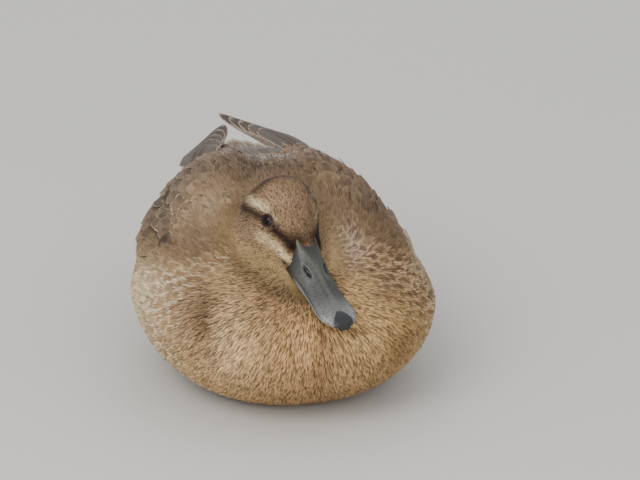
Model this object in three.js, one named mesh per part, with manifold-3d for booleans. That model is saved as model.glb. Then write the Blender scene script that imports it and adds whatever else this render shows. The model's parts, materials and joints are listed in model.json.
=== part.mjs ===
// A brown hen mallard resting on its belly with its neck drawn in and its head turned to its left.
// Life size, in millimetres. The duck faces -Y, its left side is +X and the floor is z = 0 under it.
// The origin is on the flat of the belly that it rests on, under the middle of the body.
import * as THREE from "three";
import { mergeVertices } from "three/addons/utils/BufferGeometryUtils.js";
import Module from "manifold-3d";

const wasm = await Module();
wasm.setup();

// ---------- driving dimensions, in millimetres and degrees ----------
const GAP = 0.3; // clearance left between touching pieces
const FAR = 500; // past the end of everything
const SIDES = { left: 1, right: -1 }; // the sign of X on each side of the bird

const TRUNK = { front: -132, back: 172, nose: 92, stern: 60, around: 32, along: 22 };
const BREAST_SEAM = -78; // where the breast is parted from the trunk
const RUMP_SEAM = 116; // where the rump is parted from the trunk
const BREAST_CREASE = { depth: 5, width: 15, top: 96 }; // the furrow down the middle of the breast

const HEAD = {
  base: new THREE.Vector3(2.5, -97, 105.3), // where the ridge of the bill meets the forehead
  yaw: 20.7, // turned to its left
  pitch: 19.2, // bowed
  length: 59, // from the forehead's edge to the back of the head
};
const BILL = { length: 52, root: 10 }; // length of the ridge, and how far it runs on under the face
const NAIL = { length: 9.5, width: 8, lift: 0.25 };
const EYE = { along: -25, up: 2, across: 11.6, radius: 6.5 };

const WING = { front: -72, back: 142, thickness: 6 };
const HITCH = { height: 10.5, at: 50, reach: 42 }; // the right wing is carried higher at its shoulder's back
// The waist that each wing is held in, above the flank feathers: tilts are in radians above the level.
const TUCK = {
  at: 15,
  reach: 62,
  left: { depth: 8, tilt: 0.42, spread: 0.32 },
  right: { depth: 5.5, tilt: 0.5, spread: 0.2 },
};
const FLANK = { fullness: 4, at: -6, reach: 48, height: 62, rise: 17 }; // the right flank puffs out
const PRIMARIES = {
  count: 5,
  step: 10, // how far each tip lies behind the next
  stack: 1.2, // how much higher each one lies than the one before
  width: 18, // of the outermost, and each one in from it is wider
  widening: 1.5,
  thickness: 1.6,
  left: { root: new THREE.Vector3(30, 118, 87), tip: new THREE.Vector3(-12.5, 192, 97) },
  right: { root: new THREE.Vector3(-38, 96, 88), tip: new THREE.Vector3(-13, 164, 98) },
};
const TERTIALS = {
  count: 3,
  width: 24,
  thickness: 1.8,
  root: { middle: 4, out: 30, back: 70, up: 103 }, // of the outermost
  tip: { middle: 1, out: 21, back: 148, up: 88 },
  inward: { root: 8, tip: 6 }, // from each one to the next
  shorter: 7,
  higher: { root: 3, tip: 1 },
  raised: 1, // more from each one to the next on the right side, which humps up
};
const TAIL = {
  count: 9,
  root: new THREE.Vector3(-1, 140, 76),
  length: 76,
  width: 15,
  spread: 38, // degrees
  stem: 8, // half the width of the row of its roots
  thickness: 1.6,
  fall: 3, // how much lower its tip is than its root
  roof: 3, // how much lower its outer feathers are than its middle one
};
const FOOT = { across: 31, heel: 52, knuckle: 8, toe: 48, claw: 5, webHeight: 3, shank: 8 };
// Heights over the floor, how far the cut runs under it, and its room round the foot.
const HOLLOW = { foot: 6, shank: 11.5, below: 12, reach: 28, ahead: 9 };

// ---------- shapes ----------

// A smooth curve through [at, value] pairs, level beyond its ends.
function through(pairs) {
  const slopes = pairs.map((pair, i) => {
    const before = pairs[Math.max(i - 1, 0)];
    const after = pairs[Math.min(i + 1, pairs.length - 1)];
    return (after[1] - before[1]) / (after[0] - before[0]);
  });
  return (at) => {
    if (at <= pairs[0][0]) return pairs[0][1];
    if (at >= pairs.at(-1)[0]) return pairs.at(-1)[1];
    const i = pairs.findIndex((pair) => pair[0] > at) - 1;
    const span = pairs[i + 1][0] - pairs[i][0];
    const t = (at - pairs[i][0]) / span;
    const blend = t * t * (3 - 2 * t);
    const lean = t * (1 - t) * span;
    return (
      pairs[i][1] * (1 - blend) +
      pairs[i + 1][1] * blend +
      lean * ((1 - t) * slopes[i] - t * slopes[i + 1])
    );
  };
}

// How far a rounded end has opened, from 0 at its tip to 1 at a distance of reach.
function rounded(distance, reach) {
  const left = 1 - Math.min(Math.max(distance / reach, 0), 1);
  return Math.sqrt(1 - left * left);
}

// The signed power that turns a circle's sine or cosine into a fuller or a leaner section.
const fuller = (value, power) => Math.sign(value) * Math.abs(value) ** power;

// A closed body swept through sections. section(s) gives, at a share s of the length, the middle `at`,
// the directions `side` and `up`, the half width `wide` and the heights `rise` and `drop` about the middle.
function loft(around, along, section) {
  const shape = new THREE.SphereGeometry(1, around, along);
  const place = shape.attributes.position;
  const point = new THREE.Vector3();
  for (let i = 0; i < place.count; i++) {
    point.fromBufferAttribute(place, i);
    const polar = Math.acos(THREE.MathUtils.clamp(point.y, -1, 1));
    const s = (1 - Math.cos(polar)) / 2;
    const ring = Math.hypot(point.x, point.z) || 1;
    const cut = section(s, polar / Math.PI);
    const open = Math.hypot(point.x, point.z) < 1e-6 ? 0 : 1;
    const high = point.z / ring;
    const across = open * cut.wide * fuller(point.x / ring, cut.square ?? 1);
    const height = open * (high > 0 ? cut.rise : cut.drop) * fuller(high, cut.square ?? 1);
    const pinch = 1 - (cut.pear ?? 0) * Math.max(high, 0);
    const spot = cut.at.clone().addScaledVector(cut.side, across * pinch).addScaledVector(cut.up, height);
    if (cut.shape) cut.shape(spot);
    place.setXYZ(i, spot.x, spot.y, spot.z);
  }
  return shape;
}

// A geometry as a closed solid, turned the right way out.
function solid(geometry) {
  const bare = new THREE.BufferGeometry();
  bare.setAttribute("position", geometry.getAttribute("position"));
  if (geometry.index) bare.setIndex(geometry.index);
  const merged = mergeVertices(bare, 1e-3);
  const kept = [];
  const index = merged.index.array;
  for (let i = 0; i < index.length; i += 3) {
    const [a, b, c] = [index[i], index[i + 1], index[i + 2]];
    if (a !== b && b !== c && c !== a) kept.push(a, b, c);
  }
  const build = (corners) =>
    new wasm.Manifold(
      new wasm.Mesh({
        numProp: 3,
        vertProperties: new Float32Array(merged.attributes.position.array),
        triVerts: new Uint32Array(corners),
      }),
    );
  const made = build(kept);
  if (made.volume() > 0) return made;
  for (let i = 0; i < kept.length; i += 3) [kept[i + 1], kept[i + 2]] = [kept[i + 2], kept[i + 1]];
  return build(kept);
}

// The largest piece of a solid, without the slivers that a cut can leave.
function largest(body) {
  return body.decompose().sort((a, b) => b.volume() - a.volume())[0];
}

// A box between two corners.
function block(low, high) {
  const box = new THREE.BoxGeometry(...high.map((value, i) => value - low[i]));
  box.translate(...high.map((value, i) => (value + low[i]) / 2));
  return solid(box);
}

// A smooth bump: 1 where the distance is nothing, fading within about twice the reach.
const bell = (distance, reach) => Math.exp(-((distance / reach) ** 2));

// ---------- the trunk, with the breast and the rump ----------
const TRUNK_LENGTH = TRUNK.back - TRUNK.front;
const trunkMiddle = through([[-132, 54], [-90, 52], [0, 51], [50, 54], [90, 60], [130, 69], [172, 74]]);
const trunkTop = through([
  [-132, 89],
  [-105, 93],
  [-75, 100],
  [-40, 111],
  [0, 118],
  [50, 114],
  [90, 104],
  [130, 93],
  [172, 85],
]);
const trunkBottom = through([[-132, 6], [-95, -1], [-60, -5], [60, -6], [95, 6], [130, 32], [172, 60]]);
const trunkWidth = through([
  [-132, 72],
  [-90, 79],
  [-40, 87],
  [0, 89],
  [40, 83],
  [80, 69],
  [120, 50],
  [150, 35],
  [172, 24],
]);
// How far the sides lean in above, and how far the middle is to the left.
const trunkRoof = through([[-100, 0.05], [-40, 0.16], [20, 0.24], [120, 0.24], [172, 0.1]]);
const trunkSway = through([[-20, 0], [60, 3], [110, 3], [172, -2]]);

// The furrow down the middle of the breast, the waist under each wing, the puffed flank, and the flat that the
// belly rests on.
function trunkDetail(spot) {
  const forward = THREE.MathUtils.smoothstep(-spot.y, 70, 112);
  const below = 1 - THREE.MathUtils.smoothstep(spot.z, BREAST_CREASE.top - 20, BREAST_CREASE.top);
  const lean = spot.x + 0.12 * (spot.z - 40); // the furrow leans to the right as it rises
  spot.y += BREAST_CREASE.depth * forward * below * bell(lean, BREAST_CREASE.width);
  const side = spot.x - trunkSway(spot.y);
  const tilt = Math.atan2(Math.max(spot.z - trunkMiddle(spot.y), 0), Math.abs(side));
  const tuck = side > 0 ? TUCK.left : TUCK.right;
  const inward =
    tuck.depth * bell(tilt - tuck.tilt, tuck.spread) * bell(spot.y - TUCK.at, TUCK.reach);
  const outward = side < 0 ? FLANK.fullness * bell(spot.y - FLANK.at, FLANK.reach) : 0;
  const push = outward * bell(spot.z - FLANK.height, FLANK.rise) - inward;
  spot.x += Math.sign(side) * push * Math.cos(tilt);
  spot.z = Math.max(spot.z + push * Math.sin(tilt), 0);
}

// The trunk's section at a share s of its length. grow widens it everywhere.
function trunkSection(s, grow = 0) {
  const y = TRUNK.front + s * TRUNK_LENGTH;
  const open = rounded(y - TRUNK.front, TRUNK.nose) * rounded(TRUNK.back - y, TRUNK.stern);
  const middle = trunkMiddle(y);
  return {
    at: new THREE.Vector3(trunkSway(y), y + grow * (2 * s - 1), middle),
    side: new THREE.Vector3(1, 0, 0),
    up: new THREE.Vector3(0, 0, 1),
    wide: trunkWidth(y) * open + grow,
    rise: (trunkTop(y) - middle) * open + grow,
    drop: (middle - trunkBottom(y)) * open + grow,
    square: 0.95,
    pear: trunkRoof(y),
    shape: trunkDetail,
  };
}
const trunkBody = (grow = 0) => solid(loft(TRUNK.around, TRUNK.along, (s) => trunkSection(s, grow)));

// ---------- the head's frame ----------
const yaw = THREE.MathUtils.degToRad(HEAD.yaw);
const pitch = THREE.MathUtils.degToRad(HEAD.pitch);
const FORWARD = new THREE.Vector3(
  Math.sin(yaw) * Math.cos(pitch),
  -Math.cos(yaw) * Math.cos(pitch),
  -Math.sin(pitch),
);
const ACROSS = new THREE.Vector3(Math.cos(yaw), Math.sin(yaw), 0); // the bird's left
const CROWNWARD = new THREE.Vector3().crossVectors(FORWARD, ACROSS);

// The point `along` the bill's way, `across` to the bird's left and `up` towards the crown.
const inHead = (along, across, up) =>
  HEAD.base
    .clone()
    .addScaledVector(FORWARD, along)
    .addScaledVector(ACROSS, across)
    .addScaledVector(CROWNWARD, up);

// A shape made about the origin, with X to the left, Y forward and Z to the crown, set into the head.
function setInHead(geometry, along, across, up) {
  const frame = new THREE.Matrix4().makeBasis(ACROSS, FORWARD, CROWNWARD);
  frame.setPosition(inHead(along, across, up));
  return solid(geometry.applyMatrix4(frame));
}

// ---------- the head ----------
const HEAD_FRONT = 4; // the face feathers reach this far past the ridge's start
const headTop = through([
  [-59, 2],
  [-52, 13.5],
  [-44, 19.6],
  [-36, 21.4],
  [-28, 19.6],
  [-20, 14.6],
  [-12, 8.4],
  [-5, 3.4],
  [0, 0.7],
  [4, -2],
]);
const headBottom = through([
  [-59, -22],
  [-46, -29],
  [-34, -31],
  [-20, -28.5],
  [-8, -23.5],
  [0, -21],
  [4, -20],
]);
const headMiddle = through([[-59, -6], [-42, -7], [-28, -8], [-15, -9.5], [4, -12]]);
const headWidth = through([
  [-59, 18],
  [-50, 21.4],
  [-40, 22.6],
  [-30, 21.4],
  [-22, 18.8],
  [-12, 14.6],
  [-4, 11.8],
  [4, 10.6],
]);

function headSection(s, grow = 0) {
  const along = -HEAD.length + s * (HEAD.length + HEAD_FRONT);
  const open = rounded(along + HEAD.length, 18) * rounded(HEAD_FRONT - along, 7);
  const middle = headMiddle(along);
  return {
    at: inHead(along + grow * (2 * s - 1), 0, middle),
    side: ACROSS,
    up: CROWNWARD,
    wide: headWidth(along) * open + grow,
    rise: (headTop(along) - middle) * open + grow,
    drop: (middle - headBottom(along)) * open + grow,
    pear: 0.04,
    square: 0.92,
  };
}
const headBody = (grow = 0) => solid(loft(22, 16, (s) => headSection(s, grow)));

// ---------- the neck ----------
const NECK_PATH = new THREE.CatmullRomCurve3([
  new THREE.Vector3(-4, -36, 52),
  new THREE.Vector3(-9, -50, 78),
  inHead(-42, 0, -22),
  inHead(-40, 0, -4),
]);
const neckWidth = through([[0, 44], [0.4, 31], [0.7, 23], [1, 18]]);
const neckFront = through([[0, 52], [0.4, 40], [0.7, 27], [1, 20]]);
const neckBack = through([[0, 34], [0.4, 28], [0.7, 22], [1, 18]]);

function neckSection(s, grow = 0) {
  const open = rounded(s, 0.2) * rounded(1 - s, 0.25);
  const tangent = NECK_PATH.getTangent(s);
  const up = new THREE.Vector3().crossVectors(tangent, ACROSS).normalize();
  return {
    at: NECK_PATH.getPoint(s),
    side: new THREE.Vector3().crossVectors(up, tangent).normalize(),
    up,
    wide: neckWidth(s) * open + grow,
    rise: (up.y < 0 ? neckFront(s) : neckBack(s)) * open + grow,
    drop: (up.y < 0 ? neckBack(s) : neckFront(s)) * open + grow,
  };
}
const neckBody = (grow = 0) => solid(loft(20, 10, (s) => neckSection(s, grow)));

// ---------- the bill ----------
const ridge = through([
  [-10, 1.5],
  [0, -0.2],
  [8, -5],
  [17, -9.8],
  [28, -13.2],
  [39, -15.2],
  [48, -17],
  [54, -20],
]);
const gape = through([[-10, -16.6], [0, -17.2], [12, -17.8], [28, -18.4], [42, -19.4], [54, -21.2]]);
const billWidth = through([
  [-10, 9.8],
  [0, 10.4],
  [11, 10.5],
  [22, 10.6],
  [33, 11.3],
  [43, 12],
  [54, 12.1],
]);
const BILL_TIP = 15; // the rounded end of the bill starts this far from its tip

function upperBillSection(s, grow = 0) {
  const along = -BILL.root + s * (BILL.root + BILL.length);
  const open = rounded(BILL.length - along, BILL_TIP) * rounded(along + BILL.root, 2);
  const fall = rounded(BILL.length - along, 5);
  return {
    at: inHead(along + grow * (2 * s - 1), 0, gape(along)),
    side: ACROSS,
    up: CROWNWARD,
    wide: billWidth(along) * open + grow,
    rise: Math.max((ridge(along) - gape(along)) * fall, 0.4) + grow,
    drop: 0.6 + grow,
    square: 0.86,
  };
}
const upperBill = (grow = 0) => solid(loft(18, 16, (s) => upperBillSection(s, grow)));

function lowerBillSection(s, grow = 0) {
  const reach = BILL.length - 4;
  const along = -BILL.root + s * (BILL.root + reach);
  const open = rounded(reach - along, BILL_TIP) * rounded(along + BILL.root, 2);
  return {
    at: inHead(along, 0, gape(along) - 1.6),
    side: ACROSS,
    up: CROWNWARD,
    wide: (billWidth(along) - 1.4) * open + grow,
    rise: 0.6 + grow,
    drop: THREE.MathUtils.lerp(3.6, 1.4, s) + grow,
    square: 0.9,
  };
}
const lowerBill = (grow = 0) => solid(loft(12, 8, (s) => lowerBillSection(s, grow)));

// The horny nail's outline on the tip of the bill, as a post that cuts it out.
function nailPost(grow = 0) {
  const post = new THREE.CylinderGeometry(NAIL.width / 2 + grow, NAIL.width / 2 + grow, 24, 14);
  post.rotateX(Math.PI / 2);
  post.scale(1, (2 * NAIL.length) / NAIL.width, 1);
  return setInHead(post, BILL.length + 0.5, 0, -20);
}

// A nostril, as the long bead that is cut from the side of the bill.
function nostril(sign) {
  const bead = new THREE.SphereGeometry(1, 8, 6);
  bead.scale(1.8, 3.5, 1.6);
  bead.rotateX(THREE.MathUtils.degToRad(-22));
  return setInHead(bead, 10.5, sign * 6.4, -8.8);
}

// An eyeball, for its own node and for the socket cut in the head.
const eyeball = (sign, grow = 0) =>
  setInHead(new THREE.SphereGeometry(EYE.radius + grow, 12, 8), EYE.along, sign * EYE.across, EYE.up);

// ---------- the folded wings ----------

// The height of its lower edge, and how far its upper edge is from the middle of the back.
const wingLow = through([[-72, 92], [-60, 84], [-30, 74], [20, 68], [60, 64], [100, 66], [142, 74]]);
const wingInner = through([[-72, 46], [-40, 34], [0, 22], [50, 14], [100, 12], [142, 10]]);

// The share, from 0 to 1, of the wing's thickness at a point of the trunk's surface.
function wingCover(spot) {
  const out = Math.abs(spot.x - trunkSway(spot.y));
  return Math.min(
    THREE.MathUtils.smoothstep(spot.z - wingLow(spot.y), -22, 16),
    THREE.MathUtils.smoothstep(out - wingInner(spot.y), -16, 12),
    THREE.MathUtils.smoothstep(spot.y - WING.front, -18, 16),
    THREE.MathUtils.smoothstep(WING.back - spot.y, -18, 16),
  );
}

// The trunk with the folded wings raised on it.
function wingedTrunk(grow = 0) {
  const hull = loft(TRUNK.around, TRUNK.along, (s) => {
    const raise = (spot) => {
      trunkDetail(spot);
      const side = spot.x - trunkSway(spot.y);
      const tilt = Math.atan2(Math.max(spot.z - trunkMiddle(spot.y), 0), Math.abs(side));
      const hitch = side < 0 ? HITCH.height * bell(spot.y - HITCH.at, HITCH.reach) : 0;
      const shoulder = Math.sin(2 * tilt) * Math.cos(tilt);
      const cover = (WING.thickness + hitch * shoulder) * wingCover(spot);
      spot.x += Math.sign(side) * cover * Math.cos(tilt);
      spot.z += cover * Math.sin(tilt);
    };
    return { ...trunkSection(s, grow), shape: raise };
  });
  return solid(hull);
}

// The space of one wing: inside its edges as seen from the side and from above.
function wingSpace(sign) {
  const steps = Array.from({ length: 13 }, (_, i) => THREE.MathUtils.lerp(WING.front, WING.back, i / 12));
  const outline = (edge, far) => {
    const shape = new THREE.Shape();
    shape.moveTo(WING.front, far);
    for (const y of steps) shape.lineTo(y, edge(y));
    shape.lineTo(WING.back, far);
    return new THREE.ExtrudeGeometry(shape, { depth: 2 * FAR, bevelEnabled: false });
  };
  // The edge seen from the side is drawn in Y and Z, swept along X.
  const fromSide = outline(wingLow, FAR);
  fromSide.applyMatrix4(new THREE.Matrix4().set(0, 0, 1, -FAR, 1, 0, 0, 0, 0, 1, 0, 0, 0, 0, 0, 1));
  // The edge seen from above is drawn in Y and X, swept along Z.
  const fromAbove = outline((y) => trunkSway(y) + sign * wingInner(y), sign * FAR);
  fromAbove.applyMatrix4(new THREE.Matrix4().set(0, 1, 0, 0, 1, 0, 0, 0, 0, 0, 1, -FAR, 0, 0, 0, 1));
  return solid(fromSide).intersect(solid(fromAbove));
}

// ---------- flight feathers and tail feathers ----------

// The outline of a feather along +Y from its root: full in its middle, narrowed to a blunt point.
function featherOutline(length, width, point = 0.35) {
  const half = width / 2;
  const shape = new THREE.Shape();
  shape.moveTo(-half * 0.5, 0);
  shape.lineTo(half * 0.5, 0);
  shape.quadraticCurveTo(half * 1.1, length * 0.25, half, length * (1 - point));
  shape.quadraticCurveTo(half * 0.85, length * 0.93, 0, length);
  shape.quadraticCurveTo(-half * 0.85, length * 0.93, -half, length * (1 - point));
  shape.quadraticCurveTo(-half * 1.1, length * 0.25, -half * 0.5, 0);
  return shape;
}

// A stiff feather as a thin plate from a root to a tip, its face towards `face`.
function plate({ root, tip, face, width, thickness, point, grow = 0 }) {
  const way = new THREE.Vector3().subVectors(tip, root);
  const length = way.length();
  const flat = new THREE.ExtrudeGeometry(featherOutline(length + grow, width + 2 * grow, point), {
    depth: thickness + 2 * grow,
    bevelEnabled: false,
    curveSegments: 2,
  });
  flat.translate(0, 0, -grow);
  const across = new THREE.Vector3().crossVectors(way, face).normalize();
  const normal = new THREE.Vector3().crossVectors(across, way).normalize();
  const frame = new THREE.Matrix4().makeBasis(across, way.normalize(), normal).setPosition(root);
  return solid(flat.applyMatrix4(frame));
}

const joined = (bodies) => bodies.reduce((sum, body) => sum.add(body));

// The folded primaries of one wing: a stack of narrow feathers whose tips step back one behind another.
function primaries(sign, grow = 0) {
  const { root, tip } = sign > 0 ? PRIMARIES.left : PRIMARIES.right;
  const face = new THREE.Vector3(sign * 0.35, -0.1, 0.9);
  const way = new THREE.Vector3().subVectors(tip, root).normalize();
  const plates = [];
  for (let i = 0; i < PRIMARIES.count; i++) {
    const lift = i * PRIMARIES.stack;
    plates.push(
      plate({
        root: root.clone().addScaledVector(face, lift),
        tip: tip.clone().addScaledVector(way, -i * PRIMARIES.step).addScaledVector(face, lift),
        face,
        width: PRIMARIES.width + PRIMARIES.widening * i,
        thickness: PRIMARIES.thickness,
        point: 0.42,
        grow,
      }),
    );
  }
  return joined(plates);
}

// The broad inner feathers of one wing, which lie over the rump and the roots of the primaries.
function tertials(sign, grow = 0) {
  const { root, tip, inward, higher } = TERTIALS;
  const plates = [];
  for (let i = 0; i < TERTIALS.count; i++) {
    const raise = sign < 0 ? TERTIALS.raised * i : 0;
    plates.push(
      plate({
        root: new THREE.Vector3(
          root.middle + sign * (root.out - inward.root * i),
          root.back,
          root.up + higher.root * i + raise,
        ),
        tip: new THREE.Vector3(
          tip.middle + sign * (tip.out - inward.tip * i),
          tip.back - TERTIALS.shorter * i,
          tip.up + higher.tip * i + raise,
        ),
        face: new THREE.Vector3(sign * (0.5 - 0.15 * i), 0.12, 0.85),
        width: TERTIALS.width,
        thickness: TERTIALS.thickness,
        point: 0.3,
        grow,
      }),
    );
  }
  return joined(plates);
}

// The tail: a half closed fan, roofed a little, its middle feathers longest and on top.
function tailFan() {
  const plates = [];
  for (let i = 0; i < TAIL.count; i++) {
    const share = (2 * i) / (TAIL.count - 1) - 1; // -1 at the right edge of the fan, 1 at the left
    const turn = THREE.MathUtils.degToRad((share * TAIL.spread) / 2);
    const length = TAIL.length * (1 - 0.16 * share * share);
    const lower = TAIL.roof * Math.abs(share);
    const root = new THREE.Vector3(TAIL.root.x + TAIL.stem * share, TAIL.root.y, TAIL.root.z - lower);
    const drop = TAIL.fall + 2 * Math.abs(share);
    const tip = new THREE.Vector3(length * Math.sin(turn), length * Math.cos(turn), -drop);
    plates.push(
      plate({
        root,
        tip: tip.add(root),
        face: new THREE.Vector3(0.2 * share, 0.05, 1),
        width: TAIL.width,
        thickness: TAIL.thickness,
        point: 0.3,
      }),
    );
  }
  return joined(plates);
}

// ---------- the legs, folded flat under the belly ----------
function shank(sign, grow = 0) {
  const heel = new THREE.Vector3(sign * (FOOT.across + 2), FOOT.heel, 6);
  const knuckle = new THREE.Vector3(sign * FOOT.across, FOOT.knuckle + 2, 4.5);
  const bone = loft(8, 6, (s) => ({
    at: heel.clone().lerp(knuckle, s),
    side: new THREE.Vector3(1, 0, 0),
    up: new THREE.Vector3(0, 0, 1),
    wide: (FOOT.shank / 2 + 1.5 * (1 - s) ** 3) * rounded(s, 0.12) + grow,
    rise: (4.2 + 1.5 * (1 - s) ** 3) * rounded(s, 0.12) + grow,
    drop: 8,
    shape: (spot) => {
      spot.z = Math.max(spot.z, -grow);
    },
  }));
  return solid(bone);
}

const TOES = [
  { turn: -30, length: 0.84 },
  { turn: -4, length: 1 },
  { turn: 22, length: 0.92 },
];

function foot(sign, grow = 0) {
  const root = new THREE.Vector2(sign * FOOT.across, FOOT.knuckle);
  const tips = TOES.map((toe) => {
    const turn = THREE.MathUtils.degToRad(toe.turn * sign);
    const reach = FOOT.toe * toe.length;
    return new THREE.Vector2(root.x + reach * Math.sin(turn), root.y - reach * Math.cos(turn));
  });
  const web = new THREE.Shape();
  web.moveTo(root.x - 4, root.y + 3);
  web.lineTo(...tips[sign > 0 ? 0 : 2].toArray());
  for (const [a, b] of sign > 0 ? [[0, 1], [1, 2]] : [[2, 1], [1, 0]]) {
    const hollow = tips[a].clone().add(tips[b]).multiplyScalar(0.5).lerp(root, 0.16);
    web.quadraticCurveTo(hollow.x, hollow.y, tips[b].x, tips[b].y);
  }
  web.lineTo(root.x + 4, root.y + 3);
  const sole = new THREE.ExtrudeGeometry(web, {
    depth: FOOT.webHeight + 2 * grow,
    bevelEnabled: false,
    curveSegments: 3,
  });
  sole.translate(0, 0, -grow);
  const toes = tips.map((tip) => {
    const end = tip.clone().sub(root).setLength(FOOT.claw).add(tip);
    const from = new THREE.Vector3(root.x, root.y, 2.5);
    const to = new THREE.Vector3(end.x, end.y, 2.5);
    return solid(
      loft(6, 6, (s) => ({
        at: from.clone().lerp(to, s),
        side: new THREE.Vector3(1, 0, 0),
        up: new THREE.Vector3(0, 0, 1),
        wide: (3.6 - 2 * s) * rounded(s, 0.05) * rounded(1 - s, 0.12) + grow,
        rise: (3.4 - 2 * s) * rounded(s, 0.05) * rounded(1 - s, 0.12) + grow,
        drop: 6,
        shape: (spot) => {
          spot.z = Math.max(spot.z, -grow);
        },
      })),
    );
  });
  return joined([solid(sole), ...toes]);
}

// The hollow in the belly's feathers that one leg and foot lie in: wide and low round the foot,
// deeper at the shank.
function legHollow(sign) {
  const front = FOOT.knuckle - FOOT.toe;
  const dig = (corners, height) => {
    const outline = corners.map(([out, y]) => new THREE.Vector2(sign * (FOOT.across + out), y));
    const hollow = new THREE.ExtrudeGeometry(new THREE.Shape(outline), {
      depth: height + HOLLOW.below,
      bevelEnabled: false,
    });
    hollow.translate(0, 0, -HOLLOW.below);
    return solid(hollow);
  };
  const round = [
    [-HOLLOW.reach, front - 2],
    [0, front - HOLLOW.ahead],
    [HOLLOW.reach, front - 2],
    [9, FOOT.knuckle + 8],
    [-9, FOOT.knuckle + 8],
  ];
  const behind = [[-5, FOOT.knuckle - 2], [9, FOOT.knuckle - 2], [9, FOOT.heel + 2], [-5, FOOT.heel + 2]];
  return dig(round, HOLLOW.foot).add(dig(behind, HOLLOW.shank));
}

// ---------- the pieces, parted from each other ----------
const bodies = {};
const trunkGrown = trunkBody(GAP);
const headGrown = headBody(GAP);
const neckGrown = neckBody(GAP);

const hollows = Object.values(SIDES).map((sign) => legHollow(sign));
const whole = [...hollows, headGrown, upperBill(GAP), lowerBill(GAP)].reduce(
  (rest, other) => rest.subtract(other),
  trunkBody(),
);
bodies.breast = whole.intersect(block([-FAR, -FAR, -FAR], [FAR, BREAST_SEAM - GAP / 2, FAR]));
bodies.trunk = whole.intersect(block([-FAR, BREAST_SEAM + GAP / 2, -FAR], [FAR, RUMP_SEAM - GAP / 2, FAR]));
bodies.rump = whole.intersect(block([-FAR, RUMP_SEAM + GAP / 2, -FAR], [FAR, FAR, FAR]));

bodies.bill_upper = upperBill().subtract(nailPost(GAP)).subtract(nostril(1)).subtract(nostril(-1));
bodies.bill_nail = upperBill(NAIL.lift).intersect(nailPost());
bodies.bill_lower = lowerBill().subtract(upperBill(GAP));
bodies.head = headBody()
  .subtract(upperBill(GAP))
  .subtract(lowerBill(GAP))
  .subtract(eyeball(1, GAP))
  .subtract(eyeball(-1, GAP));
bodies.neck = neckBody()
  .subtract(trunkGrown)
  .subtract(headGrown)
  .subtract(upperBill(GAP))
  .subtract(lowerBill(GAP));

// Under the folded wings, each layer is cut clear of the layers that lie over it.
let above = trunkGrown.add(wingedTrunk(GAP));
for (const [side, sign] of Object.entries(SIDES)) {
  bodies[`eye_${side}`] = eyeball(sign);
  bodies[`wing_${side}`] = wingedTrunk()
    .intersect(wingSpace(sign))
    .subtract(trunkGrown)
    .subtract(neckGrown)
    .subtract(headGrown);
  bodies[`leg_${side}`] = shank(sign).subtract(foot(sign, GAP));
  bodies[`foot_${side}`] = foot(sign);
}
for (const layer of [tertials, primaries]) {
  for (const [side, sign] of Object.entries(SIDES)) {
    bodies[`${layer.name}_${side}`] = layer(sign).subtract(above);
    above = above.add(layer(sign, GAP));
  }
}
bodies.tail = tailFan().subtract(above);

// ---------- the duck ----------
const finish = (color, roughness) => new THREE.MeshStandardMaterial({ color, roughness, metalness: 0 });
const plumage = finish("#9a7f62", 0.9);
const quills = finish("#7c7064", 0.7);
const horn = finish("#5c605f", 0.45);
const looks = {
  breast: finish("#b08f68", 0.92),
  bill_upper: horn,
  bill_lower: horn,
  bill_nail: finish("#47494a", 0.4),
  eye: finish("#2a1811", 0.05),
  leg: finish("#b5672f", 0.6),
  foot: finish("#b5672f", 0.6),
  tertials: quills,
  primaries: quills,
  tail: quills,
};

const duck = new THREE.Group();
duck.name = "duck";
for (const [name, body] of Object.entries(bodies)) {
  const { vertProperties, triVerts } = largest(body).getMesh();
  const geometry = new THREE.BufferGeometry();
  geometry.setAttribute("position", new THREE.BufferAttribute(vertProperties, 3));
  geometry.setIndex(new THREE.BufferAttribute(triVerts, 1));
  geometry.computeVertexNormals();
  const mesh = new THREE.Mesh(geometry, looks[name] ?? looks[name.split("_")[0]] ?? plumage);
  mesh.name = name;
  duck.add(mesh);
}

export default duck;
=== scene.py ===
"""A resting hen duck, life size: skin, plumage, bill, eyes, flight feathers and feet, a button for each."""

import json
import math

import bmesh
import bpy
import numpy as np
from bpy.props import FloatProperty, IntProperty, PointerProperty, StringProperty
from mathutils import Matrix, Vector
from mathutils.bvhtree import BVHTree
from mathutils.kdtree import KDTree

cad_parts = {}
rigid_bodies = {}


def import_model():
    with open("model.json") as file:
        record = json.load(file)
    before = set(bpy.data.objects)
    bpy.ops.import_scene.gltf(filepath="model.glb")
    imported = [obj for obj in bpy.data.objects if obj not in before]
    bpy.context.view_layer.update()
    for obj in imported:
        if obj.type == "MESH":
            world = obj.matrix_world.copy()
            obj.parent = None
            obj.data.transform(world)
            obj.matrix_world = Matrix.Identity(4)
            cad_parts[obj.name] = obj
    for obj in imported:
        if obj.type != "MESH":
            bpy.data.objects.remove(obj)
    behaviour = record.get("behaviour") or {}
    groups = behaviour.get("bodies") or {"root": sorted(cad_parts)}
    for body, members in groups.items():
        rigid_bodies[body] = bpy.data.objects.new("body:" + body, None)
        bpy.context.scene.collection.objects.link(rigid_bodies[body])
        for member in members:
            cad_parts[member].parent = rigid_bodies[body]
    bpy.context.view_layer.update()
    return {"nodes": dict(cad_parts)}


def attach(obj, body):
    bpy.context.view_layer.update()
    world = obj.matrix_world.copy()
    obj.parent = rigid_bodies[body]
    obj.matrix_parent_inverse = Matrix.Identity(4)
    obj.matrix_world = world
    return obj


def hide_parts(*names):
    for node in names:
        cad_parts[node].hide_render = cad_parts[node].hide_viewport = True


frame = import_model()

bl_info = {
    "name": "Resting duck",
    "version": (1, 0, 0),
    "blender": (4, 5, 0),
    "location": "View3D > Sidebar > Duck",
    "description": "Builds the plumage, bill, eyes and feet of a resting hen duck over its solids",
    "category": "Object",
}

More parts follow.
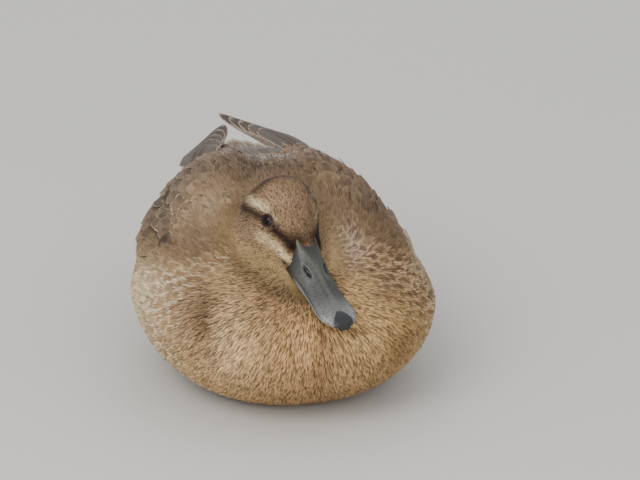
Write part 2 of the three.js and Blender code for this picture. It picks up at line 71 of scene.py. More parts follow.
MM = 0.001
FLESH = ("breast", "trunk", "rump", "neck", "head", "wing_left", "wing_right")

# ---------- the duck's own frame, in millimetres: it faces -Y, and its left side is +X ----------
HEAD_BASE = np.array((2.5, -97.0, 105.3))  # where the bill's ridge meets the forehead
YAW, PITCH = math.radians(20.7), math.radians(19.2)
FORWARD = np.array((math.sin(YAW) * math.cos(PITCH), -math.cos(YAW) * math.cos(PITCH), -math.sin(PITCH)))
ACROSS = np.array((math.cos(YAW), math.sin(YAW), 0.0))
CROWNWARD = np.cross(FORWARD, ACROSS)
HEAD_MIDDLE, HEAD_SIZE = np.array((-28.0, 0.0, -4.0)), np.array((36.0, 26.0, 30.0))  # along, across and up
THROAT = np.array((-2.0, -84.0, 90.0))
EYE_ALONG, EYE_ACROSS, EYE_UP, EYE_RADIUS = -25.0, 11.6, 2.0, 6.5
GAZE = (0.30, 0.83, 0.47)  # the way each eye looks: along, outwards and up in the head
LID_ALONG, LID_UP = EYE_ALONG + EYE_RADIUS * GAZE[0], EYE_UP + EYE_RADIUS * GAZE[2]
LID_ANGLES = (32, 40)  # the eye is open inside the first angle, and covered beyond the second
BILL_LENGTH, BILL_ROOT, BILL_TIP = 52.0, 10.0, 15.0
BILL_SQUARE = 0.86  # how square the bill's section is: 1 is an ellipse
NAIL_LENGTH, NAIL_WIDTH = 10.5, 10.0
MASK_REACH = 3.0  # how far the feathered base runs over the bill's root
SIDES = (("left", 1), ("right", -1))


def in_axes(middle, shares, ways):
    """The places that lie so far along each of three ways from a middle."""
    return middle + sum(np.multiply.outer(share, way) for share, way in zip(shares, ways))


def in_head(along, across, up):
    """Places from the head's own frame, back in the duck's."""
    return in_axes(HEAD_BASE, (along, across, up), (FORWARD, ACROSS, CROWNWARD))


def to_head(points):
    """Places in the head's own frame: along the bill, across to the left, and up to the crown."""
    away = points - HEAD_BASE
    return np.stack((away @ FORWARD, away @ ACROSS, away @ CROWNWARD), axis=-1)


def through(pairs):
    """A smooth curve through pairs of a place and its value."""
    places, values = np.array(pairs, float).T
    before = np.concatenate(([0], np.arange(len(places) - 1)))
    after = np.concatenate((np.arange(1, len(places)), [len(places) - 1]))
    slopes = (values[after] - values[before]) / (places[after] - places[before])

    def at(where):
        where = np.clip(where, places[0], places[-1])
        i = np.clip(np.searchsorted(places, where, side="right") - 1, 0, len(places) - 2)
        span = places[i + 1] - places[i]
        t = (where - places[i]) / span
        mix = t * t * (3 - 2 * t)
        lean = t * (1 - t) * span * ((1 - t) * slopes[i] - t * slopes[i + 1])
        return values[i] * (1 - mix) + values[i + 1] * mix + lean

    return at


def ease(value, low, high):
    """0 at low, 1 at high, smooth between them."""
    t = np.clip((np.asarray(value, float) - low) / (high - low), 0, 1)
    return t * t * (3 - 2 * t)


def rounded(distance, reach):
    """A quarter of a circle: 0 at an end, 1 from its reach on."""
    t = np.clip(1 - np.asarray(distance, float) / reach, 0, 1)
    return np.sqrt(np.clip(1 - t * t, 0, 1))


def fuller(value, power):
    """A power that keeps the sign; below 1 it makes a section squarer."""
    return np.sign(value) * np.abs(value) ** power


def unit(vectors):
    """Vectors of length 1 with the same ways."""
    return vectors / np.maximum(np.linalg.norm(vectors, axis=-1, keepdims=True), 1e-9)


def gaze_frame(sign):
    """The eye's middle, the way it looks and the two directions across it."""
    middle = in_head(EYE_ALONG, sign * EYE_ACROSS, EYE_UP)
    ahead = unit(FORWARD * GAZE[0] + ACROSS * sign * GAZE[1] + CROWNWARD * GAZE[2])
    fore = unit(FORWARD - ahead * (FORWARD @ ahead))
    above = unit(CROWNWARD - ahead * (CROWNWARD @ ahead) - fore * (CROWNWARD @ fore))
    return middle, ahead, fore, above


def ripple(points, size, seed):
    """Soft irregular variation from about -1 to 1, with patches of about that size."""
    turn = np.random.default_rng(seed)
    total = np.zeros(len(points))
    for _ in range(7):
        way = unit(turn.normal(size=3))
        total += np.sin(points @ way * (turn.uniform(0.6, 1.5) * 2 * math.pi / size) + turn.uniform(0, 6.3))
    return total / 2.6


def linear(colour):
    """An sRGB hex colour as linear red, green and blue."""
    parts = [int(colour[i : i + 2], 16) / 255 for i in (1, 3, 5)]
    return np.array([c / 12.92 if c <= 0.04045 else ((c + 0.055) / 1.055) ** 2.4 for c in parts])


def rgba(colour):
    return (*linear(colour), 1.0)


ridge = through([(-10, 1.5), (0, -0.2), (8, -5), (17, -9.8), (28, -13.2), (39, -15.2), (48, -17), (54, -20)])
gape = through([(-10, -16.6), (0, -17.2), (12, -17.8), (28, -18.4), (42, -19.4), (54, -21.2)])
bill_width = through([(-10, 9.8), (0, 10.4), (11, 10.5), (22, 10.6), (33, 11.3), (43, 12), (54, 12.1)])
trunk_sway = through([(-20, 0), (60, 3), (110, 3), (172, -2)])
wing_low = through([(-72, 92), (-60, 84), (-30, 74), (20, 68), (60, 64), (100, 66), (142, 74)])
wing_inner = through([(-72, 46), (-40, 34), (0, 22), (50, 14), (100, 12), (142, 10)])


# ---------- the tracts of the plumage ----------
def headness(points):
    """How far out a point is from the head's middle: below 1 on the head, 1 to 1.6 down the neck."""
    return np.linalg.norm((to_head(points) - HEAD_MIDDLE) / HEAD_SIZE, axis=-1)


def eye_distance(points):
    """Distance from the middle of the nearer eye, seen from the side of the head."""
    along, across, up = to_head(points).T
    gap = np.hypot(along - LID_ALONG, (up - LID_UP) * 1.15)
    return np.where(np.abs(across) > 7, gap, 40.0)


def wing_share(points):
    """1 on the folded wings and 0 off them."""
    out = np.abs(points[:, 0] - trunk_sway(points[:, 1]))
    return (
        ease(points[:, 2] - wing_low(points[:, 1]), -10, 12)
        * ease(out - wing_inner(points[:, 1]), -10, 6)
        * ease(points[:, 1], -80, -50)
    )


def coat_depth(points):
    """The thickness of the plumage over the skin."""
    far, along = headness(points), to_head(points)[:, 0]
    face = 0.35 + 0.75 * ease(along, -2, -14) + 0.4 * ease(along, -25, -48)
    return face + (2.0 - face) * ease(far, 0.98, 1.35) + 0.9 * ease(far, 1.35, 2.2)


def feather_length(points):
    """The length of the large feathers: short on the face, longest on the wings."""
    far = headness(points)
    side = np.abs(points[:, 0])
    body = 10.5 + 4.5 * ease(points[:, 1], -70, 10) + 2.0 * ease(side, 35, 70) * ease(points[:, 1], -95, -60)
    body += 2.5 * wing_share(points) * ease(points[:, 1], -60, 40)
    head = 2.6 + 1.6 * ease(to_head(points)[:, 0], -8, -42)
    return head + (7.0 - head) * ease(far, 0.92, 1.25) + (body - 7.0) * ease(far, 1.2, 1.9)


def lie(points, normals):
    """The way the feathers point at each place of the skin."""
    head = to_head(points)
    far = headness(points)
    fall = 0.12 + 1.3 * ease(-head[:, 0], 26, 50) + 0.25 * ease(-head[:, 2], 2, 16)
    over_head = -FORWARD + -CROWNWARD * fall[:, None]
    ring = np.stack((head[:, 0] - LID_ALONG, head[:, 2] - LID_UP), axis=-1)
    reach = np.linalg.norm(ring, axis=-1)
    push = (np.exp(-((reach / 8.5) ** 2)) * (np.abs(head[:, 1]) > 6) * 1.6)[:, None] * unit(ring)
    over_head = over_head + push[:, :1] * FORWARD + push[:, 1:] * CROWNWARD
    away = points - THROAT
    down_neck = unit(away * np.array((1.0, 1.0, 1.2))) + np.array((0, 0.15, -0.55))
    over_breast = unit(away * np.array((1.15, 0.7, 1.0))) + np.array((0, 0.35, -0.2))
    side = ease(np.abs(points[:, 0]), 20, 75)
    over_body = np.stack((0.06 * points[:, 0] / 80, np.ones(len(points)), -0.22 * side), axis=-1)
    way = over_head + (down_neck - over_head) * ease(far, 0.92, 1.3)[:, None]
    way = way + (over_breast - way) * ease(far, 1.25, 1.6)[:, None]
    behind = ease(points[:, 1], -88, -42) * ease(far, 1.15, 1.5)
    way = way + (over_body - way) * behind[:, None]
    return unit(way - normals * np.sum(way * normals, axis=-1, keepdims=True))


# ---------- the markings ----------
def near(places, centre, size):
    """1 at the centre of a marking, falling softly to 0 beyond its size along each axis."""
    gap = (places - np.array(centre)) / np.array(size)
    return np.exp(-np.sum(gap * gap, axis=-1))


def along_line(places, line, thickness):
    """1 on a line of markings that runs through the given places, falling off over its thickness."""
    best = np.full(len(places), 1e9)
    for start, end in zip(line[:-1], line[1:]):
        start, end = np.array(start, float), np.array(end, float)
        way = end - start
        t = np.clip((places - start) @ way / (way @ way), 0, 1)
        gap = np.linalg.norm(places - start - t[:, None] * way, axis=-1)
        best = np.minimum(best, gap)
    return np.exp(-((best / thickness) ** 2))


def laid(places, base, coats):
    """A base colour at each place, with coats of other colours laid over it in turn, each by its share."""
    colours = np.tile(linear(base), (len(places), 1))
    for colour, share in coats:
        colours = colours + (linear(colour) - colours) * np.clip(share, 0, 1)[:, None]
    return colours


# the slit between the folded wing and the flank, along which shade is painted
WING_SLIT_SHADE = [(-75, 25, 84), (-74, 6, 85), (-71, -14, 87), (-68, -33, 88)]
FLANK_EDGE = [(-66, -41, 91), (-62, -45, 95), (-57, -48, 97), (-52, -52, 97)]
SHOULDER_EDGE = [(-62, 60, 100), (-50, 30, 110), (-36, 6, 117)]
SHOULDER_SHADE = [(-58, 66, 100), (-46, 36, 112), (-31, 12, 119)]
HEAD_LINES = {
    "front stripe": [(2, 10.0, -1.6), (-8, 10.2, 0.4), (-13, 12, 1.2), (-21, 15.4, 3.2)],
    "back stripe": [(-26, 17.6, 5.0), (-33, 19.8, 4.2), (-41, 21, 2.2), (-51, 20, -0.5)],
    "crown's back": [(-43, 18, 11.5), (-42, 15, 14), (-43, 9, 17), (-43, 3, 18.8)],
    "pale brow": [(-13, 10.4, 5.6), (-18, 12.6, 7.6), (-25, 15.2, 9.8)],
    "brow patch": [(-42, 19.4, 8.2), (-28, 16, 9.9)],
    "pale cheek": [(1, 11.2, -9.5), (-9, 13.4, -6.6), (-17, 16.4, -5.0), (-23, 18.2, -5.4)],
}


def plumage(points):
    """The colours and marks of the plumage at each place: its ground, its fringes and how they are marked."""
    head = to_head(points)
    sided = np.stack((head[:, 0], np.abs(head[:, 1]), head[:, 2]), axis=-1)
    far = headness(points)
    x, y, z = points.T
    soft, fine = ripple(points, 34, 5), ripple(points, 9, 6)

    def patch(centre, size, strength=1.0):
        return near(points, centre, size) * strength

    def head_patch(centre, size, strength=1.0):
        return near(sided, centre, size) * strength

    def rings(middle_x, middle_up, spacing, low, high):
        """Rows of feather edges, as rings round a line that slopes down and back."""
        seen = np.hypot(x - middle_x, 0.36 * y + 0.94 * z - middle_up)
        return ease(np.sin(seen * spacing), low, high)

    front = ease(-y, 60, 92)
    wing = wing_share(points)
    flank = ease(y, -84, -52) * (1 - wing)
    right_flank = patch((-66, -70, 62), (22, 24, 22))
    pale_flank = patch((-90, -24, 52), (20, 32, 40)) + patch((86, -40, 74), (11, 26, 13), 1.2)
    side_left = ease(x, 0, 22) * ease(y, -104, -78) * ease(z, 44, 62)
    over = np.maximum(ease(z, 70, 100) * ease(y, -70, -35), wing)
    # lilac grey over the tertials' roots: their own grey-brown with their sheen painted in
    lilac_sheen = patch((0, 52, 113), (32, 14, 14))
    arcs = patch((-60, -6, 99), (9, 26, 16))
    cream = patch((78, -22, 76), (8, 30, 11))
    under = ease(40 - z, 0, 30) * ease(y, -80, -40)
    neck = ease(1.75 - far, 0, 0.5)
    face = ease(1.12 - far, 0, 0.16)
    on_head = ease(1.3 - far, 0, 0.2)
    crown = face * ease(head[:, 2], 6, 12)
    stripes = [
        (colour, along_line(sided, HEAD_LINES[name], thickness) * share * on_head)
        for name, colour, thickness, share in (
            ("crown's back", "#3f2b1f", 5.6, 0.9),
            ("pale cheek", "#dfc399", 3.4, 0.9),
            ("pale brow", "#cdbb98", 1.1, 0.95),
            ("brow patch", "#dfd0a6", 2.5, 0.95),
            ("front stripe", "#2b1a12", 3.3, 1.0),
            ("back stripe", "#33241a", 3.3, 0.95),
        )
    ]
    ground_coats = [
        # breast: warm buff, paler on its right; painted shade low in front, in its crease and under the chin,
        # and the bill's painted shadow
        ("#cba06e", patch((-18, -124, 58), (30, 36, 34))),
        ("#e3c092", patch((-50, -107, 56), (23, 30, 32))),
        # painted shade low on the front of the breast
        ("#a98559", ease(34 - z, 0, 30) * front * 0.6),
        ("#d8b077", patch((38, -112, 62), (24, 30, 26), 0.9)),
        ("#6d5340", patch((49, -88, 78), (13, 18, 10), 0.85)),
        ("#8d6d40", patch((58, -100, 44), (20, 30, 22), 0.75)),
        # the bill's shadow, painted on the breast under it
        ("#7b5a3a", patch((2, -124, 79), (24, 24, 8), 0.9)),
        # painted shade in the crease between the breast's two lobes
        ("#8b6540", patch((6, -126, 48), (5, 30, 36), 0.65)),
        # painted shade in the hollow under the chin
        ("#483d33", patch((-4, -102, 82), (11, 13, 5.5), 0.95)),
        # flanks
        ("#8d7054", flank * 0.8),
        ("#ab8c6b", right_flank * 0.7),
        ("#7e5f43", patch((-58, -94, 60), (9, 20, 26), 0.75)),
        ("#cbb690", pale_flank),
        ("#7b5f45", side_left * 0.85 * ease(fine, -0.9, 0.3)),
        # painted shade in the hollow between the folded wing and the flank
        ("#4f3b2c", patch((-60, -52, 93), (15, 20, 7.5), 0.85)),
        # mantle, wings and rump
        ("#7c644b", over * 0.95),
        ("#8a7158", patch((34, -32, 110), (20, 26, 18), 0.9)),
        ("#6d563e", patch((56, -24, 100), (20, 34, 16), 0.9)),
        ("#66513c", patch((26, 10, 118), (22, 20, 22), 0.6)),
        # painted shade on the middle of the back, in front of the tertials
        ("#4a3d30", patch((-8, 24, 117), (26, 15, 14), 0.9)),
        # the tertials' painted sheen, over their own grey
        ("#82776f", lilac_sheen * 0.9),
        ("#8d8084", patch((24, -70, 95), (13, 16, 11))),
        ("#a58a6d", patch((-46, -24, 110), (16, 24, 14), 0.85)),
        ("#7b6d5e", patch((-58, 36, 104), (14, 26, 14), 0.8)),
        # painted shade along the outer edge of the folded wing
        ("#54493f", patch((-69, 18, 94), (8, 24, 12), 0.85)),
        ("#6d563f", ease(y, 60, 110) * 0.8),
        # painted shade at the outer edge of the folded wing
        ("#3f3831", patch((-65, 42, 98), (9, 20, 11), 0.95)),
        ("#c3ab86", arcs * rings(-54, 68, 2.1, 0.3, 0.95) * 0.35),
        # painted shade along the slit between the wing and the flank
        ("#43352b", along_line(points, WING_SLIT_SHADE, 3.6) * 0.85),
        ("#dccbb0", along_line(points, FLANK_EDGE, 1.4) * 0.8),
        ("#b9a88f", patch((25, -72, 94), (10, 14, 10), 0.7) * rings(52, 46, 1.7, 0.3, 0.9)),
        ("#d9caae", along_line(points, SHOULDER_EDGE, 1.3) * 0.9),
        ("#54493d", along_line(points, SHOULDER_SHADE, 3.0) * 0.8),
        ("#cbb994", cream * 0.85),
        # belly
        ("#b7a080", under * 0.9),
        # neck and head
        ("#8d7350", neck * 0.85),
        ("#9c7e5e", face),
        ("#a98e64", on_head * ease(-head[:, 2], 9, 17) * ease(head[:, 0], -44, -20)),
        ("#a58567", crown),
        ("#8a6c50", crown * ease(-head[:, 0], 40, 56)),
        ("#422a1c", head_patch((-4, 5, 2), (8, 7.5, 4), 0.95)),
        ("#8a735c", head_patch((-33, 20, -9), (10, 6, 6), 0.85) * face),
        ("#6b5747", head_patch((-38, 21, -1), (10, 9, 5.5), 0.85) * face),
        ("#6f543f", near(head, (-33, 13, 16), (10, 4, 5)) * 0.7),
        *stripes,
        ("#291510", head_patch((-3.5, 9.2, -0.8), (6.5, 4, 4.4), 1.15)),
        ("#17110d", head_patch((-3.5, 11.8, -12.0), (3, 3, 1.8))),
    ]
    fringe_coats = [
        ("#d8c2a0", flank),
        ("#dcc8a8", right_flank),
        ("#dfcca9", pale_flank),
        ("#c4a67e", side_left),
        ("#8f765a", over * 0.95),
        # the tertials' painted sheen in the fringes
        ("#b8ada1", lilac_sheen),
        ("#bda27c", ease(y, 30, 90) * 0.85),
        ("#cdb897", arcs),
        ("#ddd0b2", cream),
        ("#cfbd9f", under),
        ("#b39873", neck * 0.8),
        ("#ab8d6d", face),
        *((colour, mark * 0.9) for colour, mark in stripes),
    ]
    width = 0.25 + 0.16 * flank + 0.12 * side_left
    streak = 0.55 - 0.35 * flank + 0.3 * side_left + 0.4 * under
    plain = front * (1 - flank) * (1 - wing) * (1 - 0.9 * side_left)
    dash = 0.15 + 0.25 * plain - 0.07 * over
    dash = (dash + (0.36 - dash) * face) * (1 - 0.6 * patch((-6, -96, 84), (16, 14, 8)))
    scaled = 1 - 0.62 * over * ease(y, 50, 0) - 0.5 * cream - 0.85 * plain
    contrast = 0.55 + 0.5 * plain + 0.25 * face + 0.2 * flank - 0.15 * over
    shade = (1 + 0.06 * soft + 0.05 * fine)[:, None]
    return {
        "ground": np.clip(laid(points, "#bd996a", ground_coats) * shade, 0, 1),
        "fringe": np.clip(laid(points, "#d0b68f", fringe_coats) * shade, 0, 1),
        "width": np.clip(width + (0.30 - width) * face, 0.05, 0.8),
        "streak": np.clip(streak, 0, 1),
        "dash": np.clip(dash, 0, 1),
        "scaled": np.clip(scaled, 0, 1),
        "contrast": np.clip(contrast, 0, 1.5),
    }


# ---------- meshes ----------
UNWRAP_PATCH = (0.0014, 0.0028)  # half the width and the whole length that a feather takes on the skin's unwrap


def show(mesh, material, slot, *replaced):
    """Puts a finished mesh in the scene as a piece of the duck, in place of the solids it replaces."""
    mesh.materials.clear()
    mesh.materials.append(material)
    piece = bpy.data.objects.new(mesh.name, mesh)
    bpy.context.scene.collection.objects.link(piece)
    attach(piece, "root")
    if replaced:
        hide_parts(*replaced)
    return piece


def corners(mesh):
    """A mesh's corners, in millimetres."""
    spots = np.empty(len(mesh.vertices) * 3)
    mesh.vertices.foreach_get("co", spots)
    return spots.reshape(-1, 3) / MM


def set_corners(mesh, spots):
    mesh.vertices.foreach_set("co", (spots * MM).ravel())
    mesh.update()


def point_normals(mesh):
    values = np.empty(len(mesh.vertices) * 3)
    mesh.vertices.foreach_get("normal", values)
    return values.reshape(-1, 3)


def colour_points(mesh, name, colours):
    """Keeps a linear colour at each corner of a mesh, for its material."""
    layer = mesh.attributes.new(name, "FLOAT_COLOR", "POINT")
    opaque = np.column_stack((colours, np.ones(len(colours))))
    layer.data.foreach_set("color", opaque.astype(np.float32).ravel())


def mark_points(mesh, name, vectors):
    layer = mesh.attributes.new(name, "FLOAT_VECTOR", "POINT")
    layer.data.foreach_set("vector", np.asarray(vectors, np.float32).ravel())


def shaded(mesh):
    mesh.polygons.foreach_set("use_smooth", np.ones(len(mesh.polygons), bool))
    return mesh


def started(name, operator, **sizes):
    """A mesh that holds one of bmesh's own shapes."""
    bm = bmesh.new()
    operator(bm, **sizes)
    mesh = bpy.data.meshes.new(name)
    bm.to_mesh(mesh)
    bm.free()
    return mesh


def closed(mesh):
    """Merges doubled corners, turns the faces outwards and shades them smooth."""
    bm = bmesh.new()
    bm.from_mesh(mesh)
    bmesh.ops.remove_doubles(bm, verts=bm.verts, dist=1e-6)
    bmesh.ops.recalc_face_normals(bm, faces=bm.faces)
    bm.to_mesh(mesh)
    bm.free()
    return shaded(mesh)


def swept(name, around, along, section, shape=None):
    """A closed body from a sphere whose rings become the sections of a sweep, as in the solids."""
    mesh = started(name, bmesh.ops.create_uvsphere, u_segments=around, v_segments=along, radius=1)
    spots = corners(mesh) * MM
    ring = np.hypot(spots[:, 0], spots[:, 1])
    polar = np.arccos(np.clip(-spots[:, 2], -1, 1))
    cut = section((1 - np.cos(polar)) / 2)
    circle = np.maximum(ring, 1e-6)
    high = spots[:, 1] / circle
    open_ = (ring > 1e-4).astype(float)
    across = open_ * cut["wide"] * fuller(spots[:, 0] / circle, cut["square"])
    rise = np.where(high > 0, cut["rise"], cut["drop"])
    height = open_ * rise * fuller(high, cut["square"])
    placed = cut["at"] + cut["side"] * across[:, None] + cut["up"] * height[:, None]
    set_corners(mesh, shape(placed) if shape else placed)
    return closed(mesh)


def joined(name, pattern, spots, looks, unwrap=None):
    """One mesh of many feathers: the pattern repeated with its corners at spots, and each feather's looks.

    looks holds, feather by feather, the ground, the fringe, the marks (width of the fringe, streak and bars)
    and a seed. unwrap holds each feather's place on the skin's own unwrap.
    """
    across, along, faces = pattern
    count, size = spots.shape[:2]
    quads = (faces[None] + (np.arange(count) * size)[:, None, None]).reshape(-1, 4)
    mesh = bpy.data.meshes.new(name)
    mesh.vertices.add(count * size)
    mesh.loops.add(quads.size)
    mesh.polygons.add(len(quads))
    mesh.loops.foreach_set("vertex_index", quads.ravel())
    mesh.polygons.foreach_set("loop_start", np.arange(len(quads)) * 4)
    mesh.polygons.foreach_set("loop_total", np.full(len(quads), 4))
    set_corners(mesh, spots.reshape(-1, 3))
    mesh.update(calc_edges=True)
    corner = quads.ravel()
    across, along = np.tile(across, count)[corner], np.tile(along, count)[corner]
    if unwrap is not None:
        patch = np.column_stack((across, along - 0.5)) * UNWRAP_PATCH
        home = np.repeat(unwrap, size, axis=0)[corner]
        mesh.uv_layers.new(name="OFBake").data.foreach_set("uv", np.clip(home + patch, 0, 1).ravel())
    mesh.uv_layers.new(name="vane").data.foreach_set("uv", np.column_stack(((across + 1) / 2, along)).ravel())
    ground, fringe, marks, seeds = (np.repeat(values, size, axis=0) for values in looks)
    colour_points(mesh, "ground", ground)
    colour_points(mesh, "fringe", fringe)
    mark_points(mesh, "marks", marks)
    mesh.attributes.new("seed", "FLOAT", "POINT").data.foreach_set("value", seeds)
    return shaded(mesh)


# ---------- materials ----------
# Patterns, as cells to a metre: the down's fluff is 1.1 mm across, the horn's flecks 0.9 mm and its pits
# 0.45 mm, the specks of the iris 0.7 mm, and the plates of the feet 1.1 mm.
FLUFF, HORN_FLECKS, HORN_PITS, IRIS_SPECKS, FOOT_PLATES = 900.0, 1100.0, 2200.0, 1400.0, 900.0


def add_node(tree, kind, inputs=None, **settings):
    """Adds a node with its settings; an input is a value, an output, or a node for its first output."""
    node = tree.nodes.new(kind)
    for key, value in settings.items():
        setattr(node, key, value)
    for socket, source in (inputs or {}).items():
        if isinstance(source, bpy.types.Node):
            source = next(output for output in source.outputs if output.enabled)
        if isinstance(source, bpy.types.NodeSocket):
            tree.links.new(source, node.inputs[socket])
        else:
            node.inputs[socket].default_value = source
    return node


def new_material(name, roughness):
    """A material of one roughness, with its nodes and its shader."""
    material = bpy.data.materials.new(name)
    material.use_nodes = True
    shader = material.node_tree.nodes["Principled BSDF"]
    shader.inputs["Roughness"].default_value = roughness
    return material, material.node_tree, shader


def finished(material, colour, height, strength, distance):
    """Joins a material's colour to its shader, and its relief, so many metres deep, to the shader's normal."""
    tree = material.node_tree
    raised = add_node(tree, "ShaderNodeBump", {"Height": height, "Strength": strength, "Distance": distance})
    shader = tree.nodes["Principled BSDF"]
    tree.links.new(colour.outputs[2], shader.inputs["Base Color"])
    tree.links.new(raised.outputs[0], shader.inputs["Normal"])
    return material


def feather_material(name, barb_count, shaft):
    """Keratin vanes, grown: a soft matt web of barbs, pale and ragged at the fringe, dark along the shaft."""
    material, tree, shader = new_material(name, 0.82)
    shader.inputs["Specular IOR Level"].default_value = 0.2
    shader.inputs["Sheen Weight"].default_value = 0.05
    shader.inputs["Sheen Roughness"].default_value = 0.5
    names = ("ground", "fringe", "marks", "seed")
    ground, fringe, marks, seed = (add_node(tree, "ShaderNodeAttribute", attribute_name=one) for one in names)
    own, fringe = ground.outputs["Color"], fringe.outputs["Color"]
    width, streak, bars = add_node(tree, "ShaderNodeSeparateXYZ", {0: marks.outputs["Vector"]}).outputs
    vane = add_node(tree, "ShaderNodeUVMap", uv_map="vane")
    u, v, _ = add_node(tree, "ShaderNodeSeparateXYZ", {0: vane}).outputs
    # side is 0 on the shaft and 1 at the edges; the barbs slant forwards from the shaft
    doubled = add_node(tree, "ShaderNodeMath", {0: u, 1: 2.0, 2: -1.0}, operation="MULTIPLY_ADD")
    side = add_node(tree, "ShaderNodeMath", {0: doubled}, operation="ABSOLUTE")
    lean = add_node(tree, "ShaderNodeMath", {0: side, 1: -0.42, 2: v}, operation="MULTIPLY_ADD")
    barb = add_node(tree, "ShaderNodeMath", {0: lean, 1: float(barb_count)}, operation="MULTIPLY")
    across = add_node(tree, "ShaderNodeMath", {0: u, 1: 1.6}, operation="MULTIPLY")
    apart = add_node(tree, "ShaderNodeMath", {0: seed.outputs["Fac"], 1: 60.0}, operation="MULTIPLY")
    barb_place = add_node(tree, "ShaderNodeCombineXYZ", {0: barb, 1: across, 2: apart})
    noise = {"Vector": barb_place, "Scale": 1.0, "Detail": 2.0, "Roughness": 0.6}
    grain = add_node(tree, "ShaderNodeTexNoise", noise).outputs["Fac"]
    # the fringe: a pale rim with a ragged inner edge, and bars that follow it
    ragged = add_node(tree, "ShaderNodeMath", {0: grain, 1: 0.7, 2: -0.35}, operation="MULTIPLY_ADD")
    from_side = add_node(tree, "ShaderNodeMath", {0: side, 1: -1.5, 2: 1.5}, operation="MULTIPLY_ADD")
    from_tip = add_node(tree, "ShaderNodeMath", {0: v, 1: -2.6, 2: 2.6}, operation="MULTIPLY_ADD")
    inside = add_node(tree, "ShaderNodeMath", {0: from_side, 1: from_tip, 2: 0.35}, operation="SMOOTH_MIN")
    edge = add_node(tree, "ShaderNodeMath", {0: inside, 1: ragged}, operation="ADD")
    inner = add_node(tree, "ShaderNodeMath", {0: width, 1: 0.45}, operation="MULTIPLY")
    outer = add_node(tree, "ShaderNodeMath", {0: width, 1: 1.5}, operation="MULTIPLY")
    smooth = {"interpolation_type": "SMOOTHSTEP"}
    rim = add_node(tree, "ShaderNodeMapRange", {0: edge, 1: outer, 2: inner, 3: 0.0, 4: 1.0}, **smooth)
    wave = add_node(tree, "ShaderNodeMath", {0: edge, 1: 21.0}, operation="MULTIPLY")
    wavy = add_node(tree, "ShaderNodeMath", {0: wave}, operation="SINE")
    bar = add_node(tree, "ShaderNodeMapRange", {0: wavy, 1: 0.2, 2: 0.8, 3: 0.0, 4: 1.0}, **smooth)
    barred = add_node(tree, "ShaderNodeMath", {0: bar, 1: bars}, operation="MULTIPLY")
    pale = add_node(tree, "ShaderNodeMath", {0: rim, 1: barred}, operation="MAXIMUM")
    # the dark streak along the shaft
    middle = add_node(tree, "ShaderNodeMath", {0: ragged, 1: 0.35, 2: side}, operation="MULTIPLY_ADD")
    stripe = add_node(tree, "ShaderNodeMapRange", {0: middle, 1: 0.44, 2: 0.1, 3: 0.0, 4: 1.0}, **smooth)
    striped = add_node(tree, "ShaderNodeMath", {0: stripe, 1: streak}, operation="MULTIPLY")
    mixed, multiplied = {"data_type": "RGBA"}, {"data_type": "RGBA", "blend_type": "MULTIPLY"}
    dark = add_node(tree, "ShaderNodeMix", {0: 1.0, 6: own, 7: rgba("#b0a296")}, **multiplied)
    darker = add_node(tree, "ShaderNodeMix", {0: 1.0, 6: dark, 7: rgba("#b0a296")}, **multiplied)
    centre = add_node(tree, "ShaderNodeMix", {0: striped, 6: own, 7: darker}, **mixed)
    edged = add_node(tree, "ShaderNodeMix", {0: pale, 6: centre, 7: fringe}, **mixed)
    if shaft:
        quill = add_node(tree, "ShaderNodeMapRange", {0: side, 1: 0.07, 2: 0.025, 3: 0.0, 4: 0.5})
        edged = add_node(tree, "ShaderNodeMix", {0: quill, 6: edged, 7: rgba(shaft)}, **mixed)
    light = add_node(tree, "ShaderNodeMapRange", {0: grain, 1: 0.3, 2: 0.7, 3: 0.78, 4: 1.16})
    toned = add_node(tree, "ShaderNodeMix", {0: 1.0, 6: edged, 7: light}, **multiplied)
    return finished(material, toned, grain, 0.3, 0.3 * MM)


def mottled(tree, scale, detail, low, high):
    """The colour kept in the ground attribute, lighter and darker in specks, and the specks themselves."""
    ground = add_node(tree, "ShaderNodeAttribute", attribute_name="ground").outputs["Color"]
    place = add_node(tree, "ShaderNodeTexCoord").outputs["Object"]
    noise = {"Vector": place, "Scale": scale, "Detail": detail}
    speck = add_node(tree, "ShaderNodeTexNoise", noise).outputs["Fac"]
    light = add_node(tree, "ShaderNodeMapRange", {0: speck, 1: 0.3, 2: 0.7, 3: low, 4: high})
    mix = {"data_type": "RGBA", "blend_type": "MULTIPLY"}
    return add_node(tree, "ShaderNodeMix", {0: 1.0, 6: ground, 7: light}, **mix), speck


def down_material():
    """Down and skin under the feathers: soft, matt and a little darker than the vanes that cover it."""
    material, tree, shader = new_material("down", 0.95)
    shader.inputs["Specular IOR Level"].default_value = 0.1
    toned, fluff = mottled(tree, FLUFF, 3.0, 0.55, 0.9)
    return finished(material, toned, fluff, 0.6, 0.5 * MM)


# ---------- the skin ----------
GROWN = 0.6 * MM  # how far the flesh solids are pushed out, so that the gaps between them close
SHRUNK = -0.2 * MM  # and how far the eyes go in, to leave room for the eyeballs


class Body:
    """The skin once it is built, and what grows from it: a search tree, the unwrap, triangles and feathers."""

    mesh = tree = uv = triangles = vane = layout = None


def relaxed(spots, edges, rounds, share):
    """Smooths a mesh's corners towards their neighbours; share says how much, corner by corner."""
    count = len(spots)
    ends = np.concatenate((edges[:, 0], edges[:, 1]))
    others = np.concatenate((edges[:, 1], edges[:, 0]))
    many = np.maximum(np.bincount(ends, minlength=count), 1)
    for _ in range(rounds):
        mean = np.stack([np.bincount(ends, spots[others, k], count) / many for k in range(3)], axis=-1)
        spots = spots + (mean - spots) * share[:, None]
    return spots


def feather_line(place):
    """How far forward the feathers reach over the bill's root: a point on the ridge, a bulge on each cheek."""
    share = np.abs(place[:, 1]) / bill_width(place[:, 0])
    up = place[:, 2]
    on_top = 2.0 - 10.5 * ease(share, 0.05, 0.6)
    bulge = np.exp(-(((up + 8.5) / 3.6) ** 2))
    on_side = 2.4 * bulge - 4.8 * (1 - bulge)
    return on_top + (on_side - on_top) * ease(share, 0.62, 0.86)


